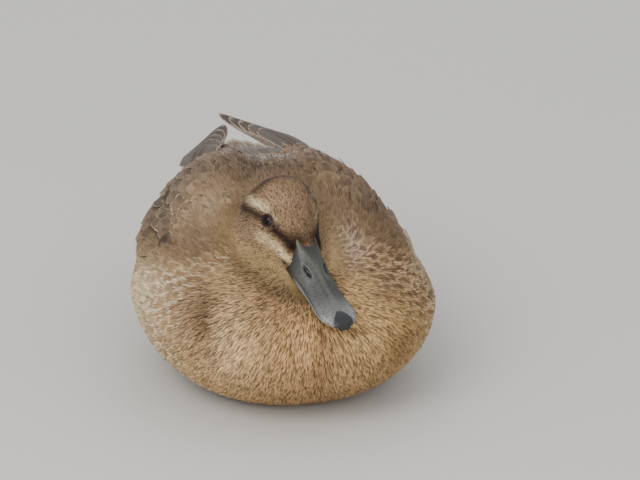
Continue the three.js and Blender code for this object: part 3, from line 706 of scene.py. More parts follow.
def face_mask():
    """The feathered base of the bill, as a closed body that joins the skin there."""
    over_bill = 0.9  # how much wider and higher than the bill it is

    def section(share):
        along = -BILL_ROOT + share * (BILL_ROOT + MASK_REACH)
        cut = bill_section(share, MASK_REACH, lambda place: ridge(place) - gape(place) + over_bill, over_bill)
        cut["wide"] = (bill_width(along) + over_bill) * np.maximum(rounded(MASK_REACH - along, 1.5), 0.85)
        return cut

    def shape(spots):
        place = to_head(spots)
        limit = feather_line(place)
        along = -BILL_ROOT + (place[:, 0] + BILL_ROOT) * (limit + BILL_ROOT) / (MASK_REACH + BILL_ROOT)
        return in_head(along, place[:, 1], place[:, 2])

    return swept("mask", 64, 48, section, shape)


def taken(whole, mesh):
    """Adds a mesh to a bmesh and drops it."""
    whole.from_mesh(mesh)
    bpy.data.meshes.remove(mesh)


def flesh_copy():
    """One mesh of the flesh solids, grown a little, the eyes and the feathered base of the bill."""
    whole = bmesh.new()
    for name in (*FLESH, "eye_left", "eye_right"):
        part = bmesh.new()
        part.from_mesh(frame["nodes"][name].data)
        bmesh.ops.remove_doubles(part, verts=part.verts, dist=1e-6)
        part.normal_update()
        for corner in part.verts:
            corner.co += corner.normal * (GROWN if name in FLESH else SHRUNK)
        mesh = bpy.data.meshes.new("part")
        part.to_mesh(mesh)
        part.free()
        taken(whole, mesh)
    taken(whole, face_mask())
    mesh = bpy.data.meshes.new("flesh")
    whole.to_mesh(mesh)
    whole.free()
    return mesh


def lidded(spots):
    """Draws the skin over each eyeball up to the lids, and keeps it inside the ball where the eye is open."""
    over_ball, in_ball = EYE_RADIUS + 0.25, EYE_RADIUS - 0.9
    for sign in (-1, 1):
        middle, ahead, _, _ = gaze_frame(sign)
        away = spots - middle
        reach = np.maximum(np.linalg.norm(away, axis=-1), 1e-6)
        angle = np.degrees(np.arccos(np.clip(away @ ahead / reach, -1, 1)))
        near_ball = (reach < EYE_RADIUS + 3) & (angle < 100)
        shut = ease(angle, *LID_ANGLES)
        goal = np.maximum(reach, over_ball) * shut + np.minimum(reach, in_ball) * (1 - shut)
        spots = np.where(near_ball[:, None], middle + away * (goal / reach)[:, None], spots)
    return spots


def browed(spots):
    """Swells the brow over each eye, so that the eye lies in its shade."""
    along, across, up = to_head(spots).T
    left = across > 0
    swell = np.where(left, 3.2, 1.7) * ease(np.abs(across), 8, 12)
    swell *= np.exp(-(((along + 19) / 11) ** 2) - ((up - np.where(left, 8.6, 9.5)) / 3.8) ** 2)
    return spots + (np.sign(across) * swell)[:, None] * (0.9 * ACROSS) + (swell * 0.4)[:, None] * CROWNWARD


class DuckSettings(bpy.types.PropertyGroup):
    """The sizes and colours a user would change."""

    skin_grain: FloatProperty(
        name="Skin grain",
        description="Size of the small faces that the skin is rebuilt from",
        default=1.5 * MM,
        unit="LENGTH",
    )
    tuft_share: FloatProperty(
        name="Feather amount",
        description="Number of feathers, as a share of the full plumage",
        default=1.0,
        min=0.2,
        max=1.5,
    )
    seed: IntProperty(name="Seed", description="Starts the small irregularities of the plumage", default=7)
    eye_colour: StringProperty(name="Iris", description="Colour of the iris (sRGB hex)", default="#2a170f")
    bill_colour: StringProperty(name="Bill", description="Main colour of the bill (sRGB hex)", default="#4c4c49")
    foot_colour: StringProperty(name="Feet", description="Main colour of the feet (sRGB hex)", default="#b5672f")
    floor_colour: StringProperty(name="Floor", description="Colour of the floor (sRGB hex)", default="#d8d5cf")


class DUCK_OT_skin(bpy.types.Operator):
    """Build one closed skin over the head, neck, body and wings"""

    bl_idname = "duck.skin"
    bl_label = "Skin"

    def execute(self, context):
        settings = context.scene.duck
        flesh = bpy.data.objects.new("flesh", flesh_copy())
        context.scene.collection.objects.link(flesh)
        remesh = flesh.modifiers.new("rebuild", "REMESH")
        remesh.mode = "VOXEL"
        remesh.voxel_size = settings.skin_grain
        graph = context.evaluated_depsgraph_get()
        mesh = bpy.data.meshes.new_from_object(flesh.evaluated_get(graph))
        bpy.data.objects.remove(flesh)
        mesh.name = "skin"
        edges = np.empty(len(mesh.edges) * 2, int)
        mesh.edges.foreach_get("vertices", edges)
        edges = edges.reshape(-1, 2)
        spots = corners(mesh)
        far = headness(spots)
        share = 0.04 + 0.1 * ease(-to_head(spots)[:, 0], 4, 14) + 0.36 * ease(far, 1.0, 1.3)
        spots = relaxed(spots, edges, 30, share)
        set_corners(mesh, spots)
        spots -= point_normals(mesh) * coat_depth(spots)[:, None]
        spots = browed(spots)
        spots = relaxed(lidded(spots), edges, 2, share)
        spots = lidded(spots)
        set_corners(mesh, spots)
        colour_points(mesh, "ground", plumage(spots)["ground"])
        skin = show(shaded(mesh), down_material(), "plumage", *FLESH)
        for other in context.view_layer.objects:
            other.select_set(False)
        context.view_layer.objects.active = skin
        skin.select_set(True)
        mesh.uv_layers.new(name="OFBake")
        bpy.ops.object.mode_set(mode="EDIT")
        bpy.ops.mesh.select_all(action="SELECT")
        bpy.ops.uv.smart_project(angle_limit=math.radians(70), island_margin=0.001)
        bpy.ops.object.mode_set(mode="OBJECT")
        read_skin(mesh)
        return {"FINISHED"}


def read_skin(mesh):
    """Keeps what the coat asks of the skin: its triangles, their places on the unwrap and a search tree."""
    Body.mesh = mesh
    mesh.calc_loop_triangles()
    count = len(mesh.loop_triangles)
    indices = np.empty(count * 3, int)
    mesh.loop_triangles.foreach_get("vertices", indices)
    loops = np.empty(count * 3, int)
    mesh.loop_triangles.foreach_get("loops", loops)
    uv = np.empty(len(mesh.loops) * 2)
    mesh.uv_layers["OFBake"].data.foreach_get("uv", uv)
    Body.triangles = indices.reshape(-1, 3)
    Body.uv = uv.reshape(-1, 2)[loops.reshape(-1, 3)].mean(axis=1)
    Body.tree = BVHTree.FromPolygons(corners(mesh).tolist(), Body.triangles.tolist())


# ---------- the coat ----------
def scattered(rng, mask, spacing, amount=1.0, exact=True):
    """Feather roots on the skin: random places, none nearer to another than the spacing there, or about so."""
    corner = corners(Body.mesh)[Body.triangles]
    middle = corner.mean(axis=1)
    kept = np.flatnonzero(mask(middle))
    corner = corner[kept]
    area = np.linalg.norm(np.cross(corner[:, 1] - corner[:, 0], corner[:, 2] - corner[:, 0]), axis=-1) / 2
    gap = spacing(middle[kept]) / math.sqrt(amount)
    wanted = area / gap**2 * (5.0 if exact else 2.2)
    picks = rng.choice(len(kept), size=int(wanted.sum()), p=wanted / wanted.sum())
    a, b = rng.random((2, len(picks)))
    turned = a + b > 1
    a, b = np.where(turned, 1 - a, a), np.where(turned, 1 - b, b)
    base = corner[picks]
    places = base[:, 0] + (base[:, 1] - base[:, 0]) * a[:, None] + (base[:, 2] - base[:, 0]) * b[:, None]
    gaps = gap[picks]
    if not exact:
        cells = np.floor(places / (gaps * 1.12)[:, None]).astype(int)
        _, chosen = np.unique(cells, axis=0, return_index=True)
        return places[chosen]
    cell = float(gaps.max())
    cells = np.floor(places / cell).astype(int)
    around = [(i, j, k) for i in (-1, 0, 1) for j in (-1, 0, 1) for k in (-1, 0, 1)]
    grid, chosen = {}, []
    for number, (spot, home, apart) in enumerate(zip(places.tolist(), cells.tolist(), gaps.tolist())):
        others = (
            other for i, j, k in around for other in grid.get((home[0] + i, home[1] + j, home[2] + k), ())
        )
        if all(math.dist(spot, other) >= apart for other in others):
            grid.setdefault(tuple(home), []).append(spot)
            chosen.append(number)
    return places[chosen]


def on_skin(places):
    """The nearest places on the skin, its normals there, and the triangles."""
    spots, normals, faces = [], [], []
    for place in places.tolist():
        spot, normal, face, _ = Body.tree.find_nearest(place)
        spots.append(spot)
        normals.append(normal)
        faces.append(face)
    return np.array(spots), np.array(normals), np.array(faces)


def vane_pattern(columns, rows):
    """One flat feather from a grid: its corners as u across and v along, and its faces."""
    bm = bmesh.new()
    bmesh.ops.create_grid(bm, x_segments=columns, y_segments=rows, size=1)
    bm.verts.index_update()
    place = np.array([corner.co[:2] for corner in bm.verts])
    faces = np.array([[corner.index for corner in face.verts] for face in bm.faces])
    bm.free()
    return place[:, 0], (place[:, 1] + 1) / 2, faces


def vane_width(v, point):
    """The outline of a feather: narrow at its root, full past its middle, round or pointed at its tip."""
    opened = 0.35 + 0.65 * ease(v, 0, 0.4)
    shut = np.clip(1 - np.clip((v - 1 + point) / point, 0, 1) ** 2.4, 0, 1) ** 0.5
    return opened * np.maximum(shut, 0.12)


def grow(name, roots, pattern, rng, length, width, look, lift=1.0, point=0.85, camber=0.28):
    """Grows a feather from each root along the lie of the coat and joins them in one piece."""
    across, along, _ = pattern
    steps = np.unique(along)
    row = np.searchsorted(steps, along)
    count = len(roots)
    lengths = length * rng.uniform(0.85, 1.15, count)
    halves = width / 2 * rng.uniform(0.85, 1.15, count)
    spots, normals, triangles = on_skin(roots)
    sway = rng.normal(0, 0.10, count)
    path, ups, ways = [], [], []
    for number, place in enumerate(steps):
        if number:
            step = lengths * (place - steps[number - 1])
            spots, fresh, _ = on_skin(spots + ways[-1] * step[:, None])
            normals = unit(normals * 0.35 + fresh)
        heading = lie(spots, normals)
        side = np.cross(heading, normals)
        path.append(spots)
        ups.append(normals)
        ways.append(unit(heading + side * sway[:, None]))
    path, ups, ways = np.array(path), np.array(ups), np.array(ways)
    depth = coat_depth(roots) * lift * rng.uniform(0.8, 1.15, count)
    rise = depth[None] * (0.1 + 0.9 * np.clip(steps[:, None], 0, 1) ** 0.75)
    middle = path + ups * rise[..., None]
    sides = unit(np.cross(ways, ups))
    roll = np.clip(rng.normal(0, 0.10, count), -0.15, 0.15)
    wide = (halves[None] * vane_width(along, point)[:, None]) * across[:, None]
    ragged = 1 + rng.normal(0, 0.06, (len(along), count))
    at = middle[row] + sides[row] * (wide * ragged)[..., None]
    drop = camber * wide * np.abs(across)[:, None] - roll[None] * wide
    at = at - ups[row] * drop[..., None]
    at[..., 2] = np.maximum(at[..., 2], 0.4)  # no feather sinks into the floor
    marks = look(path[int(len(steps) * 0.6)])
    tone = rng.normal(1, 0.09, (count, 1)) * (1 + rng.normal(0, 0.02, (count, 3)))
    looks = (
        np.clip(marks["ground"] * tone, 0, 1),
        np.clip(marks["fringe"] * (0.5 + 0.5 * tone), 0, 1),
        np.column_stack((marks["width"], marks["streak"], np.zeros(count))),
        rng.random(count),
    )
    mesh = joined(name, pattern, at.transpose(1, 0, 2), looks, Body.uv[triangles])
    show(mesh, Body.vane, "plumage")


def lay_out(settings):
    """The large feathers of the body as places only: their roots, ways and sizes, for their markings."""
    rng = np.random.default_rng(settings.seed)
    roots = scattered(rng, lambda p: headness(p) > 1.05, lambda p: feather_length(p) * 0.46)
    spots, normals, _ = on_skin(roots)
    ways = lie(spots, normals)
    sides = np.cross(ways, normals)
    lengths = feather_length(roots) * rng.uniform(0.9, 1.1, len(roots))
    middles = spots + ways * (lengths * 0.6)[:, None]
    tree = KDTree(len(roots))
    for number, middle in enumerate(middles.tolist()):
        tree.insert(middle, number)
    tree.balance()
    Body.layout = (tree, spots, ways, sides, lengths, rng.normal(0, 1, len(roots)))


def worn_marks(points, rng):
    """The colour of each small tuft, from the large feather that it belongs to."""
    tree, spots, ways, sides, lengths, moods = Body.layout
    nearest = 12
    found = np.array([[one[1] for one in tree.find_n(point, nearest)] for point in points.tolist()])
    away = points[:, None] - spots[found]
    v = np.sum(away * ways[found], axis=-1) / lengths[found]
    outline = (0.5 + 0.5 * ease(v, 0, 0.4)) * np.sqrt(np.clip(1 - ease(v, 0.55, 1.0) ** 2, 0.02, 1))
    half = 0.36 * lengths[found] * outline
    u = np.abs(np.sum(away * sides[found], axis=-1)) / half
    inside = (v > 0.05) & (v < 1) & (u < 1)
    best = np.argmax(np.where(inside, v, -1), axis=1)
    rows = np.arange(len(points))
    none = ~inside[rows, best]
    v, u = np.where(none, 0.5, v[rows, best]), np.where(none, 0.5, u[rows, best])
    mood = moods[found[rows, best]]
    marks = plumage(points)
    edge = np.minimum((1 - u) * 1.2, (1 - v) * 2.2) + rng.normal(0, 0.07, len(points))
    body = ease(headness(points), 1.15, 1.5)
    rim = ease(edge, marks["width"] * 1.5, marks["width"] * 0.4) * body * marks["scaled"]
    heart = ease(edge, 0.35, 0.9) * marks["streak"] * body * marks["scaled"]
    ground = marks["ground"] * (1 + 0.07 * mood * body)[:, None]
    ground = ground * (1 - 0.45 * heart)[:, None]
    ground = ground + (marks["fringe"] - ground) * (rim * 0.9)[:, None]
    dark = rng.random(len(points)) < marks["dash"]
    deep = rng.uniform(0.35, 0.65, len(points))
    tone = 1 + np.where(dark, -deep, rng.normal(0.06, 0.07, len(points))) * marks["contrast"]
    marks["ground"] = ground * tone[:, None]
    marks["fringe"] = ground * (tone * 1.12)[:, None]
    marks["width"] = np.full(len(points), 0.12)
    marks["streak"] = np.full(len(points), 0.1)
    return marks


def tract(points):
    """Which group of feathers each place belongs to."""
    far = headness(points)
    x, y, z = points.T
    group = np.full(len(points), "back_left", dtype="<U12")
    for name, inside in (
        ("back_right", x < trunk_sway(y)),
        ("flank_left", (z < 58) & (x > 0)),
        ("flank_right", (z < 58) & (x <= 0)),
        ("breast_left", (y < -62) & (x > 0)),
        ("breast_right", (y < -62) & (x <= 0)),
        ("belly", (z < 16) & (y > -84)),
        ("rump", y > 92),
        ("neck", far < 1.75),
        ("head", far < 1.12),
    ):
        group[inside] = name
    return group


def bare(points):
    """Where no feather grows: inside the bill's root, the eye and the hollows of the legs."""
    head = to_head(points)
    mouth = (head[:, 0] > feather_line(head) - 0.2) & (np.abs(head[:, 1]) < 12.5) & (head[:, 2] > -25)
    eye = (eye_distance(points) < 4.4) & (np.abs(head[:, 1]) > 6)
    out = np.abs(np.abs(points[:, 0]) - FOOT_ACROSS)
    legs = (points[:, 2] < 13) & (out < 22) & (points[:, 1] > -48) & (points[:, 1] < HEEL + 2)
    return mouth | eye | legs


def spread(group, gap, rows, wide, longer=1.0):
    """Covers one tract with fine overlapping tufts; gap and wide are shares of their length."""
    settings = bpy.context.scene.duck
    name = "plumage_" + group
    rng = np.random.default_rng(settings.seed + sum(map(ord, name)))

    def mask(places):
        return (tract(places) == group) & ~bare(places)

    roots = scattered(rng, mask, lambda places: gap * tuft_length(places), settings.tuft_share, exact=False)
    lengths = tuft_length(roots) * longer
    grow(name, roots, vane_pattern(1, rows), rng, lengths, lengths * wide, lambda tips: worn_marks(tips, rng))


def tuft_length(points):
    """The length of the tufts that show: short on the face, longest on the back and flanks."""
    far = headness(points)
    head = 2.4 + 1.4 * ease(to_head(points)[:, 0], -8, -42)
    back = ease(points[:, 1], -70, -20)
    return head + (4.4 - head) * ease(far, 0.95, 1.3) + (1.2 + 2.0 * back) * ease(far, 1.3, 2.0)


class DUCK_OT_plumage(bpy.types.Operator):
    """Grow the small feathers of the head, neck, breast, flanks, back and rump"""

    bl_idname = "duck.plumage"
    bl_label = "Plumage"

    def execute(self, context):
        if Body.tree is None:
            raise RuntimeError("Build the skin before its plumage")
        lay_out(context.scene.duck)
        Body.vane = feather_material("contour_feather", 6, None)
        spread("head", gap=0.16, rows=3, wide=0.2)
        spread("neck", gap=0.18, rows=3, wide=0.2)
        for side, _ in SIDES:
            spread("breast_" + side, gap=0.15, rows=4, wide=0.15)
            spread("flank_" + side, gap=0.15, rows=4, wide=0.16)
            spread("back_" + side, gap=0.15, rows=4, wide=0.16)
        spread("rump", gap=0.2, rows=4, wide=0.24, longer=1.1)
        spread("belly", gap=0.2, rows=4, wide=0.24)
        return {"FINISHED"}


# ---------- the bill ----------
def bill_section(share, reach, top, drop, offset=0.0, inset=0.0, square=BILL_SQUARE):
    """The bill's section at shares of its reach: top gives its height above the gape, drop its depth below."""
    along = -BILL_ROOT + share * (BILL_ROOT + reach)
    opened = rounded(reach - along, BILL_TIP) * rounded(along + BILL_ROOT, 2)
    return {
        "at": in_head(along, 0.0, gape(along) - offset),
        "side": ACROSS,
        "up": CROWNWARD,
        "wide": (bill_width(along) - inset) * opened,
        "rise": top(along),
        "drop": drop,
        "square": square,
    }


def bill_rise(along):
    """How high the upper bill stands over the gape, down its middle."""
    return np.maximum((ridge(along) - gape(along)) * rounded(BILL_LENGTH - along, 5), 0.4)


def bill_top(along, across):
    """The height of the upper bill's surface in the head's frame."""
    wide = bill_width(along) * rounded(BILL_LENGTH - along, BILL_TIP)
    cosine = np.clip(np.abs(across) / np.maximum(wide, 0.1), 0, 1) ** (1 / BILL_SQUARE)
    return gape(along) + bill_rise(along) * np.sqrt(1 - cosine**2) ** BILL_SQUARE


def nostril_dent(place):
    """How deep the nostril is cut at a place of the bill, and how high its rim stands."""
    along = place[:, 0] - 11.7
    aside = 0.8 * place[:, 2] - 0.6 * np.abs(place[:, 1]) + 10.5 + 0.2 * along
    gap = np.hypot(along / 4.8, aside / 1.35)
    return 1.6 * ease(gap, 1.0, 0.5), 0.3 * np.exp(-(((gap - 1.3) / 0.25) ** 2))


def bill_detail(spots):
    """Presses the nostrils, the lip along the gape and the hollows beside the ridge into the upper bill."""
    place = to_head(spots)
    along, across, up = place.T
    height = up - gape(along)
    share = np.abs(across) / bill_width(along)
    deep, rim = nostril_dent(place)
    outward = unit(np.sign(across)[:, None] * ACROSS * 0.8 + CROWNWARD * 0.6)
    lip = 0.35 * np.exp(-(((height - 0.2) / 0.7) ** 2)) - 0.32 * np.exp(-(((height - 1.9) / 0.8) ** 2))
    on_side = ease(share, 0.6, 0.9) * ease(along, 2, 12)
    corner = np.exp(-(((share - 0.6) / 0.24) ** 2)) * ease(along, 2, -5) * ease(height, 4, 9)
    hollow = np.exp(-(((share - 0.5) / 0.2) ** 2)) * ease(along, 14, 24) * ease(along, 48, 36)
    spots = spots + outward * (rim - deep)[:, None]
    spots = spots + (np.sign(across) * lip * on_side)[:, None] * ACROSS
    return spots + CROWNWARD * (3.4 * corner - 0.5 * hollow)[:, None]


def bill_colours(spots):
    """The bill's slate, its pale tip and rim, its olive ridge with a painted highlight beside it, and its dark
    specks' ground.
    """
    place = to_head(spots)
    along, across, up = place.T
    share = across / bill_width(along)
    aside = np.abs(share)
    height = np.clip((up - gape(along)) / np.maximum(ridge(along) - gape(along), 1), 0, 1.2)
    spot = np.stack((along, share), -1)
    # a light olive line beside the ridge, painted as a highlight
    highlight_line = [(-4, -6), (2, -4.4), (9, -1.6), (16, 0), (34, 0.6)]
    streak = along_line(np.stack((along, share * 10), -1), highlight_line, 1.2)
    deep, rim = nostril_dent(place)
    coats = [
        ("#181919", ease(13 - along, 0, 16) * 0.92),
        ("#23231e", near(spot, (24, 0.36), (16, 0.17)) * 0.9),
        ("#23251c", near(spot, (22, 0.75), (26, 0.27)) * 0.9),
        ("#343532", near(spot, (25, -0.12), (8, 0.1)) * 0.6),
        # painted highlight along the ridge
        ("#5f6054", streak * 0.6),
        ("#6f716d", ease(along, 28, 42) * 0.9),
        ("#8c8f8c", ease(along, 38, 47) * ease(aside, 0.3, 0.7) * 0.8),
        ("#8d908b", np.exp(-(((height - 0.06) / 0.07) ** 2)) * ease(along, 4, 16) * 0.7),
        ("#232424", np.exp(-(((height - 0.24) / 0.07) ** 2)) * ease(along, 8, 20) * 0.6),
        ("#171412", ease(3 - along, 0, 6) * ease(0.5 - height, 0, 0.3)),
        ("#202122", ease(along, BILL_LENGTH - 6, BILL_LENGTH - 3) * ease(aside, 0.6, 0.45)),
        # painted shade inside the nostrils
        ("#0c0b0b", ease(deep, 0.15, 0.9)),
        ("#7c7f7b", rim * ease(aside, 0.62, 0.3) * 1.5),
    ]
    colour = laid(spots, bpy.context.scene.duck.bill_colour, coats)
    return np.clip(colour * (1 + 0.07 * ripple(spots, 11, 31))[:, None], 0, 1)


def horn_material(name, roughness, specks):
    """Keratin over bone, grown: smooth and dull like worn leather, finely pitted, with dark specks."""
    material, tree, shader = new_material(name, roughness)
    shader.inputs["IOR"].default_value = 1.54
    shader.inputs["Specular IOR Level"].default_value = 0.45
    ground = add_node(tree, "ShaderNodeAttribute", attribute_name="ground").outputs["Color"]
    place = add_node(tree, "ShaderNodeTexCoord").outputs["Object"]
    speckle = {"Vector": place, "Scale": HORN_FLECKS, "Detail": 2.0, "Roughness": 0.5}
    fleck = add_node(tree, "ShaderNodeTexNoise", speckle).outputs["Fac"]
    spot = add_node(tree, "ShaderNodeMapRange", {0: fleck, 1: 0.54, 2: 0.62, 3: 0.0, 4: specks})
    flecked = add_node(tree, "ShaderNodeMix", {0: spot, 6: ground, 7: rgba("#2b2b2a")}, data_type="RGBA")
    rougher = {0: fleck, 1: 0.3, 2: 0.7, 3: roughness - 0.08, 4: roughness + 0.12}
    worn = add_node(tree, "ShaderNodeMapRange", rougher)
    tree.links.new(worn.outputs[0], shader.inputs["Roughness"])
    pits = add_node(tree, "ShaderNodeTexNoise", {"Vector": place, "Scale": HORN_PITS, "Detail": 3.0})
    return finished(material, flecked, pits.outputs["Fac"], 0.25, 0.2 * MM)


def nail_mesh(name):
    """The hard nail at the tip: a flat dome that lies on the upper bill and hooks over its end."""
    mesh = started(name, bmesh.ops.create_uvsphere, u_segments=48, v_segments=24, radius=1)
    across, along, up = (corners(mesh) * MM).T
    forward = BILL_LENGTH + 0.5 + (along - 1) * NAIL_LENGTH / 2
    sideways = across * NAIL_WIDTH / 2 * (0.72 + 0.5 * ease(along, -0.9, 0.6))
    level = bill_top(np.minimum(forward, BILL_LENGTH - 0.3), sideways)
    lift = np.where(up > 0, 0.62 * np.abs(up) ** 0.7, -0.5)
    hook = 1.2 * ease(along, 0.7, 1.0)
    set_corners(mesh, in_head(forward, sideways, level + lift - hook))
    rim = ease(np.hypot(across, along), 0.6, 1.0)
    colour_points(mesh, "ground", laid(across, "#292a2c", [("#1b1c1d", rim)]))
    return closed(mesh)


class DUCK_OT_bill(bpy.types.Operator):
    """Shape the upper bill, the lower bill and the nail at the tip"""

    bl_idname = "duck.bill"
    bl_label = "Bill"

    def execute(self, context):
        horn = horn_material("bill_keratin", 0.36, 0.7)

        def upper(share):
            return bill_section(share, BILL_LENGTH, bill_rise, 0.6)

        def lower(share):
            sizes = {"offset": 1.6, "inset": 1.4, "square": 0.9}
            return bill_section(share, BILL_LENGTH - 4, lambda _: 0.6, 3.6 - 2.2 * share, **sizes)

        for mesh, node in (
            (swept("bill_upper_horn", 128, 120, upper, bill_detail), "bill_upper"),
            (swept("bill_lower_horn", 64, 48, lower), "bill_lower"),
        ):
            colour_points(mesh, "ground", bill_colours(corners(mesh)))
            show(mesh, horn, "bill", node)
        show(nail_mesh("bill_nail_horn"), horn_material("nail_keratin", 0.34, 0.2), "nail", "bill_nail")
        return {"FINISHED"}


# ---------- the eyes ----------
def eyeball(name, sign):
    """A ball with its pole at the pupil and a slight bulge there, as a cornea has."""
    mesh = started(name, bmesh.ops.create_uvsphere, u_segments=64, v_segments=48, radius=1)
    x, y, z = (corners(mesh) * MM).T
    middle, ahead, fore, above = gaze_frame(sign)
    bulge = EYE_RADIUS + 0.25 * ease(z, 0.8, 1.0)
    set_corners(mesh, in_axes(middle, (x * bulge, y * bulge, z * bulge), (fore, above, ahead)))
    angle = np.degrees(np.arccos(np.clip(z, -1, 1)))
    iris = ease(angle, 19, 22) * ease(angle, 40, 33)
    colour_points(mesh, "ground", laid(x, "#0b0706", [(bpy.context.scene.duck.eye_colour, iris)]))
    return closed(mesh)


def eyelid(name, sign):
    """The bare ring of skin round an eye: an almond opening with a rounded rim that sinks into the coat."""
    mesh = started(name, bmesh.ops.create_grid, x_segments=64, y_segments=8, size=1)
    place = corners(mesh) * MM
    turn = (place[:, 0] + 1) * math.pi
    out = (place[:, 1] + 1) / 2
    opening = 29 + 7 * np.abs(np.cos(turn)) ** 3
    beyond = through([(0, -3), (0.15, 0.3), (0.35, 2.5), (0.6, 7), (0.8, 14), (1, 26)])
    height = through([(0, 6.3), (0.15, 6.62), (0.35, 6.8), (0.6, 6.8), (0.8, 6.5), (1, 5.7)])
    angle = np.radians(opening + beyond(out))
    high = height(out) + 0.05 * np.sin(turn * 21) * ease(out, 0.3, 0.6)
    middle, ahead, fore, above = gaze_frame(sign)
    ring = high * np.sin(angle)
    shares = (high * np.cos(angle), ring * np.cos(turn), ring * np.sin(turn))
    set_corners(mesh, in_axes(middle, shares, (ahead, fore, above)))
    coats = [("#15100e", ease(0.3 - out, 0, 0.15)), ("#2e2219", ease(out, 0.45, 0.7))]
    colour_points(mesh, "ground", laid(out, "#33291f", coats))
    bm = bmesh.new()
    bm.from_mesh(mesh)
    bmesh.ops.remove_doubles(bm, verts=bm.verts, dist=1e-6)
    bm.normal_update()
    ball = Vector(middle * MM)
    if sum(face.normal.dot(face.calc_center_median() - ball) for face in bm.faces) < 0:
        bmesh.ops.reverse_faces(bm, faces=bm.faces)
    bm.to_mesh(mesh)
    bm.free()
    return shaded(mesh)


class DUCK_OT_eyes(bpy.types.Operator):
    """Set the eyes in their sockets, with the bare lids round them"""

    bl_idname = "duck.eyes"
    bl_label = "Eyes"

    def execute(self, context):
        # a wet cornea over a dark iris: clear, smooth and glossy, with faint specks in the iris
        wet, tree, shader = new_material("wet_cornea", 0.06)
        shader.inputs["IOR"].default_value = 1.38
        shader.inputs["Specular IOR Level"].default_value = 0.3
        toned, _ = mottled(tree, IRIS_SPECKS, 2.0, 0.7, 1.25)
        tree.links.new(toned.outputs[2], shader.inputs["Base Color"])
        skin = horn_material("bare_skin", 0.62, 0.3)
        for side, sign in SIDES:
            show(eyeball(f"eyeball_{side}", sign), wet, "eye", f"eye_{side}")
            show(eyelid(f"eyelid_{side}", sign), skin, "plumage")
        return {"FINISHED"}


# ---------- flight feathers and tail ----------
def plates(name, feathers, rows, columns, material, replaced):
    """Long stiff feathers, each from a root to a tip with its face towards one side, joined in one piece."""
    pattern = vane_pattern(columns, rows)
    across, along, _ = pattern
    rng = np.random.default_rng(bpy.context.scene.duck.seed + len(name))
    opened = 0.4 + 0.6 * ease(along, 0, 0.3)
    spots, looks = [], []
    for number, one in enumerate(feathers):
        root, tip, face = (np.array(one[key], float) for key in ("root", "tip", "face"))
        length = np.linalg.norm(tip - root)
        way = (tip - root) / length
        side = unit(np.cross(way, face))
        half, point = one["width"] / 2, one["point"]
        shut = np.clip(1 - np.clip((along - 1 + point) / point, 0, 1) ** 1.9, 0, 1) ** 0.62
        outline = opened * np.maximum(shut, 0.05)
        wave = 1 + 0.012 * np.sin(along * 60 + number) * ease(np.abs(across), 0.6, 1)
        camber = 0.16 * half * (1 - across**2 * outline)
        bow = one.get("bow", 2.0) * np.sin(along * math.pi)
        shares = (along * length, across * half * outline * wave, camber + bow + one["lift"])
        spots.append(in_axes(root, shares, (way, side, np.cross(side, way))))
        ground = linear(one["ground"]) * rng.uniform(0.92, 1.08)
        marks = (one["rim"], one["streak"], one.get("bars", 0.0))
        looks.append((ground, linear(one["fringe"]), marks, rng.random()))
    mesh = joined(name, pattern, np.array(spots), [np.array(values) for values in zip(*looks)])
    piece = show(mesh, material, "flight_feathers", replaced)
    thick = piece.modifiers.new("thickness", "SOLIDIFY")
    thick.thickness = 0.5 * MM
    thick.offset = -1


def primary_feathers(sign):
    """The folded tips of one wing: narrow feathers, each behind and over the one before."""
    tip = np.array((-12.5, 192, 97) if sign > 0 else (-13, 164, 98))
    root = np.array((30, 118, 87) if sign > 0 else (-38, 96, 88))
    face = np.array((sign * 0.35, -0.36 if sign > 0 else -0.1, 0.88))
    way = unit(tip - root)
    same = {"face": face, "point": 0.42, "fringe": "#b3a28e", "rim": 0.10, "streak": 0.5, "lift": 1.2}
    grounds = ("#4f443b", "#54493f", "#594d43", "#61554c", "#665b52")
    return [
        {
            "root": root + face * number * 1.2,
            "tip": tip - way * 10 * number + face * number * 1.2,
            "width": 18 + 1.5 * number,
            "ground": ground,
            **same,
        }
        for number, ground in enumerate(grounds)
    ]


def tertial_feathers(sign):
    """The broad inner feathers of one wing, the upper ones arched over the middle of the back."""
    bows = (1, 2, 3, 3, 2) if sign > 0 else (1, 2, 3, 4, 4)
    grounds = ("#5e5147", "#665a50", "#70655d", "#766b66", "#6d6158")
    same = {"point": 0.34, "fringe": "#b2a79b", "rim": 0.07, "streak": 0.35}
    return [
        {
            "root": (3 + sign * (33 - 8 * number), 60 - number, 101 + 1.2 * number),
            "tip": (2 + sign * (23 - 5.2 * number), 150 - 8 * number, 88 + 1.2 * number),
            "face": (sign * (0.55 - 0.12 * number), 0.12, 0.85),
            "width": 25 - number,
            "ground": ground,
            "lift": 0.5 * number,
            "bow": bow,
            **same,
        }
        for number, (bow, ground) in enumerate(zip(bows, grounds))
    ]


def tail_feathers():
    """A fan of nine feathers, the middle one longest and uppermost."""
    feathers = []
    same = {"width": 15, "point": 0.3, "ground": "#85715a", "fringe": "#d3c5a8", "lift": 1.0, "bow": 0.5}
    for number in range(9):
        share = number / 4 - 1
        turn = math.radians(share * 19)
        length = 76 * (1 - 0.16 * share * share)
        root = np.array((-1 + 8 * share, 140, 76 - 3 * abs(share)))
        tip = root + np.array((length * math.sin(turn), length * math.cos(turn), -(3 + 2 * abs(share))))
        marks = {"rim": 0.24, "streak": 0.5, "bars": 0.35}
        feathers.append({"root": root, "tip": tip, "face": (0.2 * share, 0.05, 1), **marks, **same})
    return sorted(feathers, key=lambda one: one["root"][2])


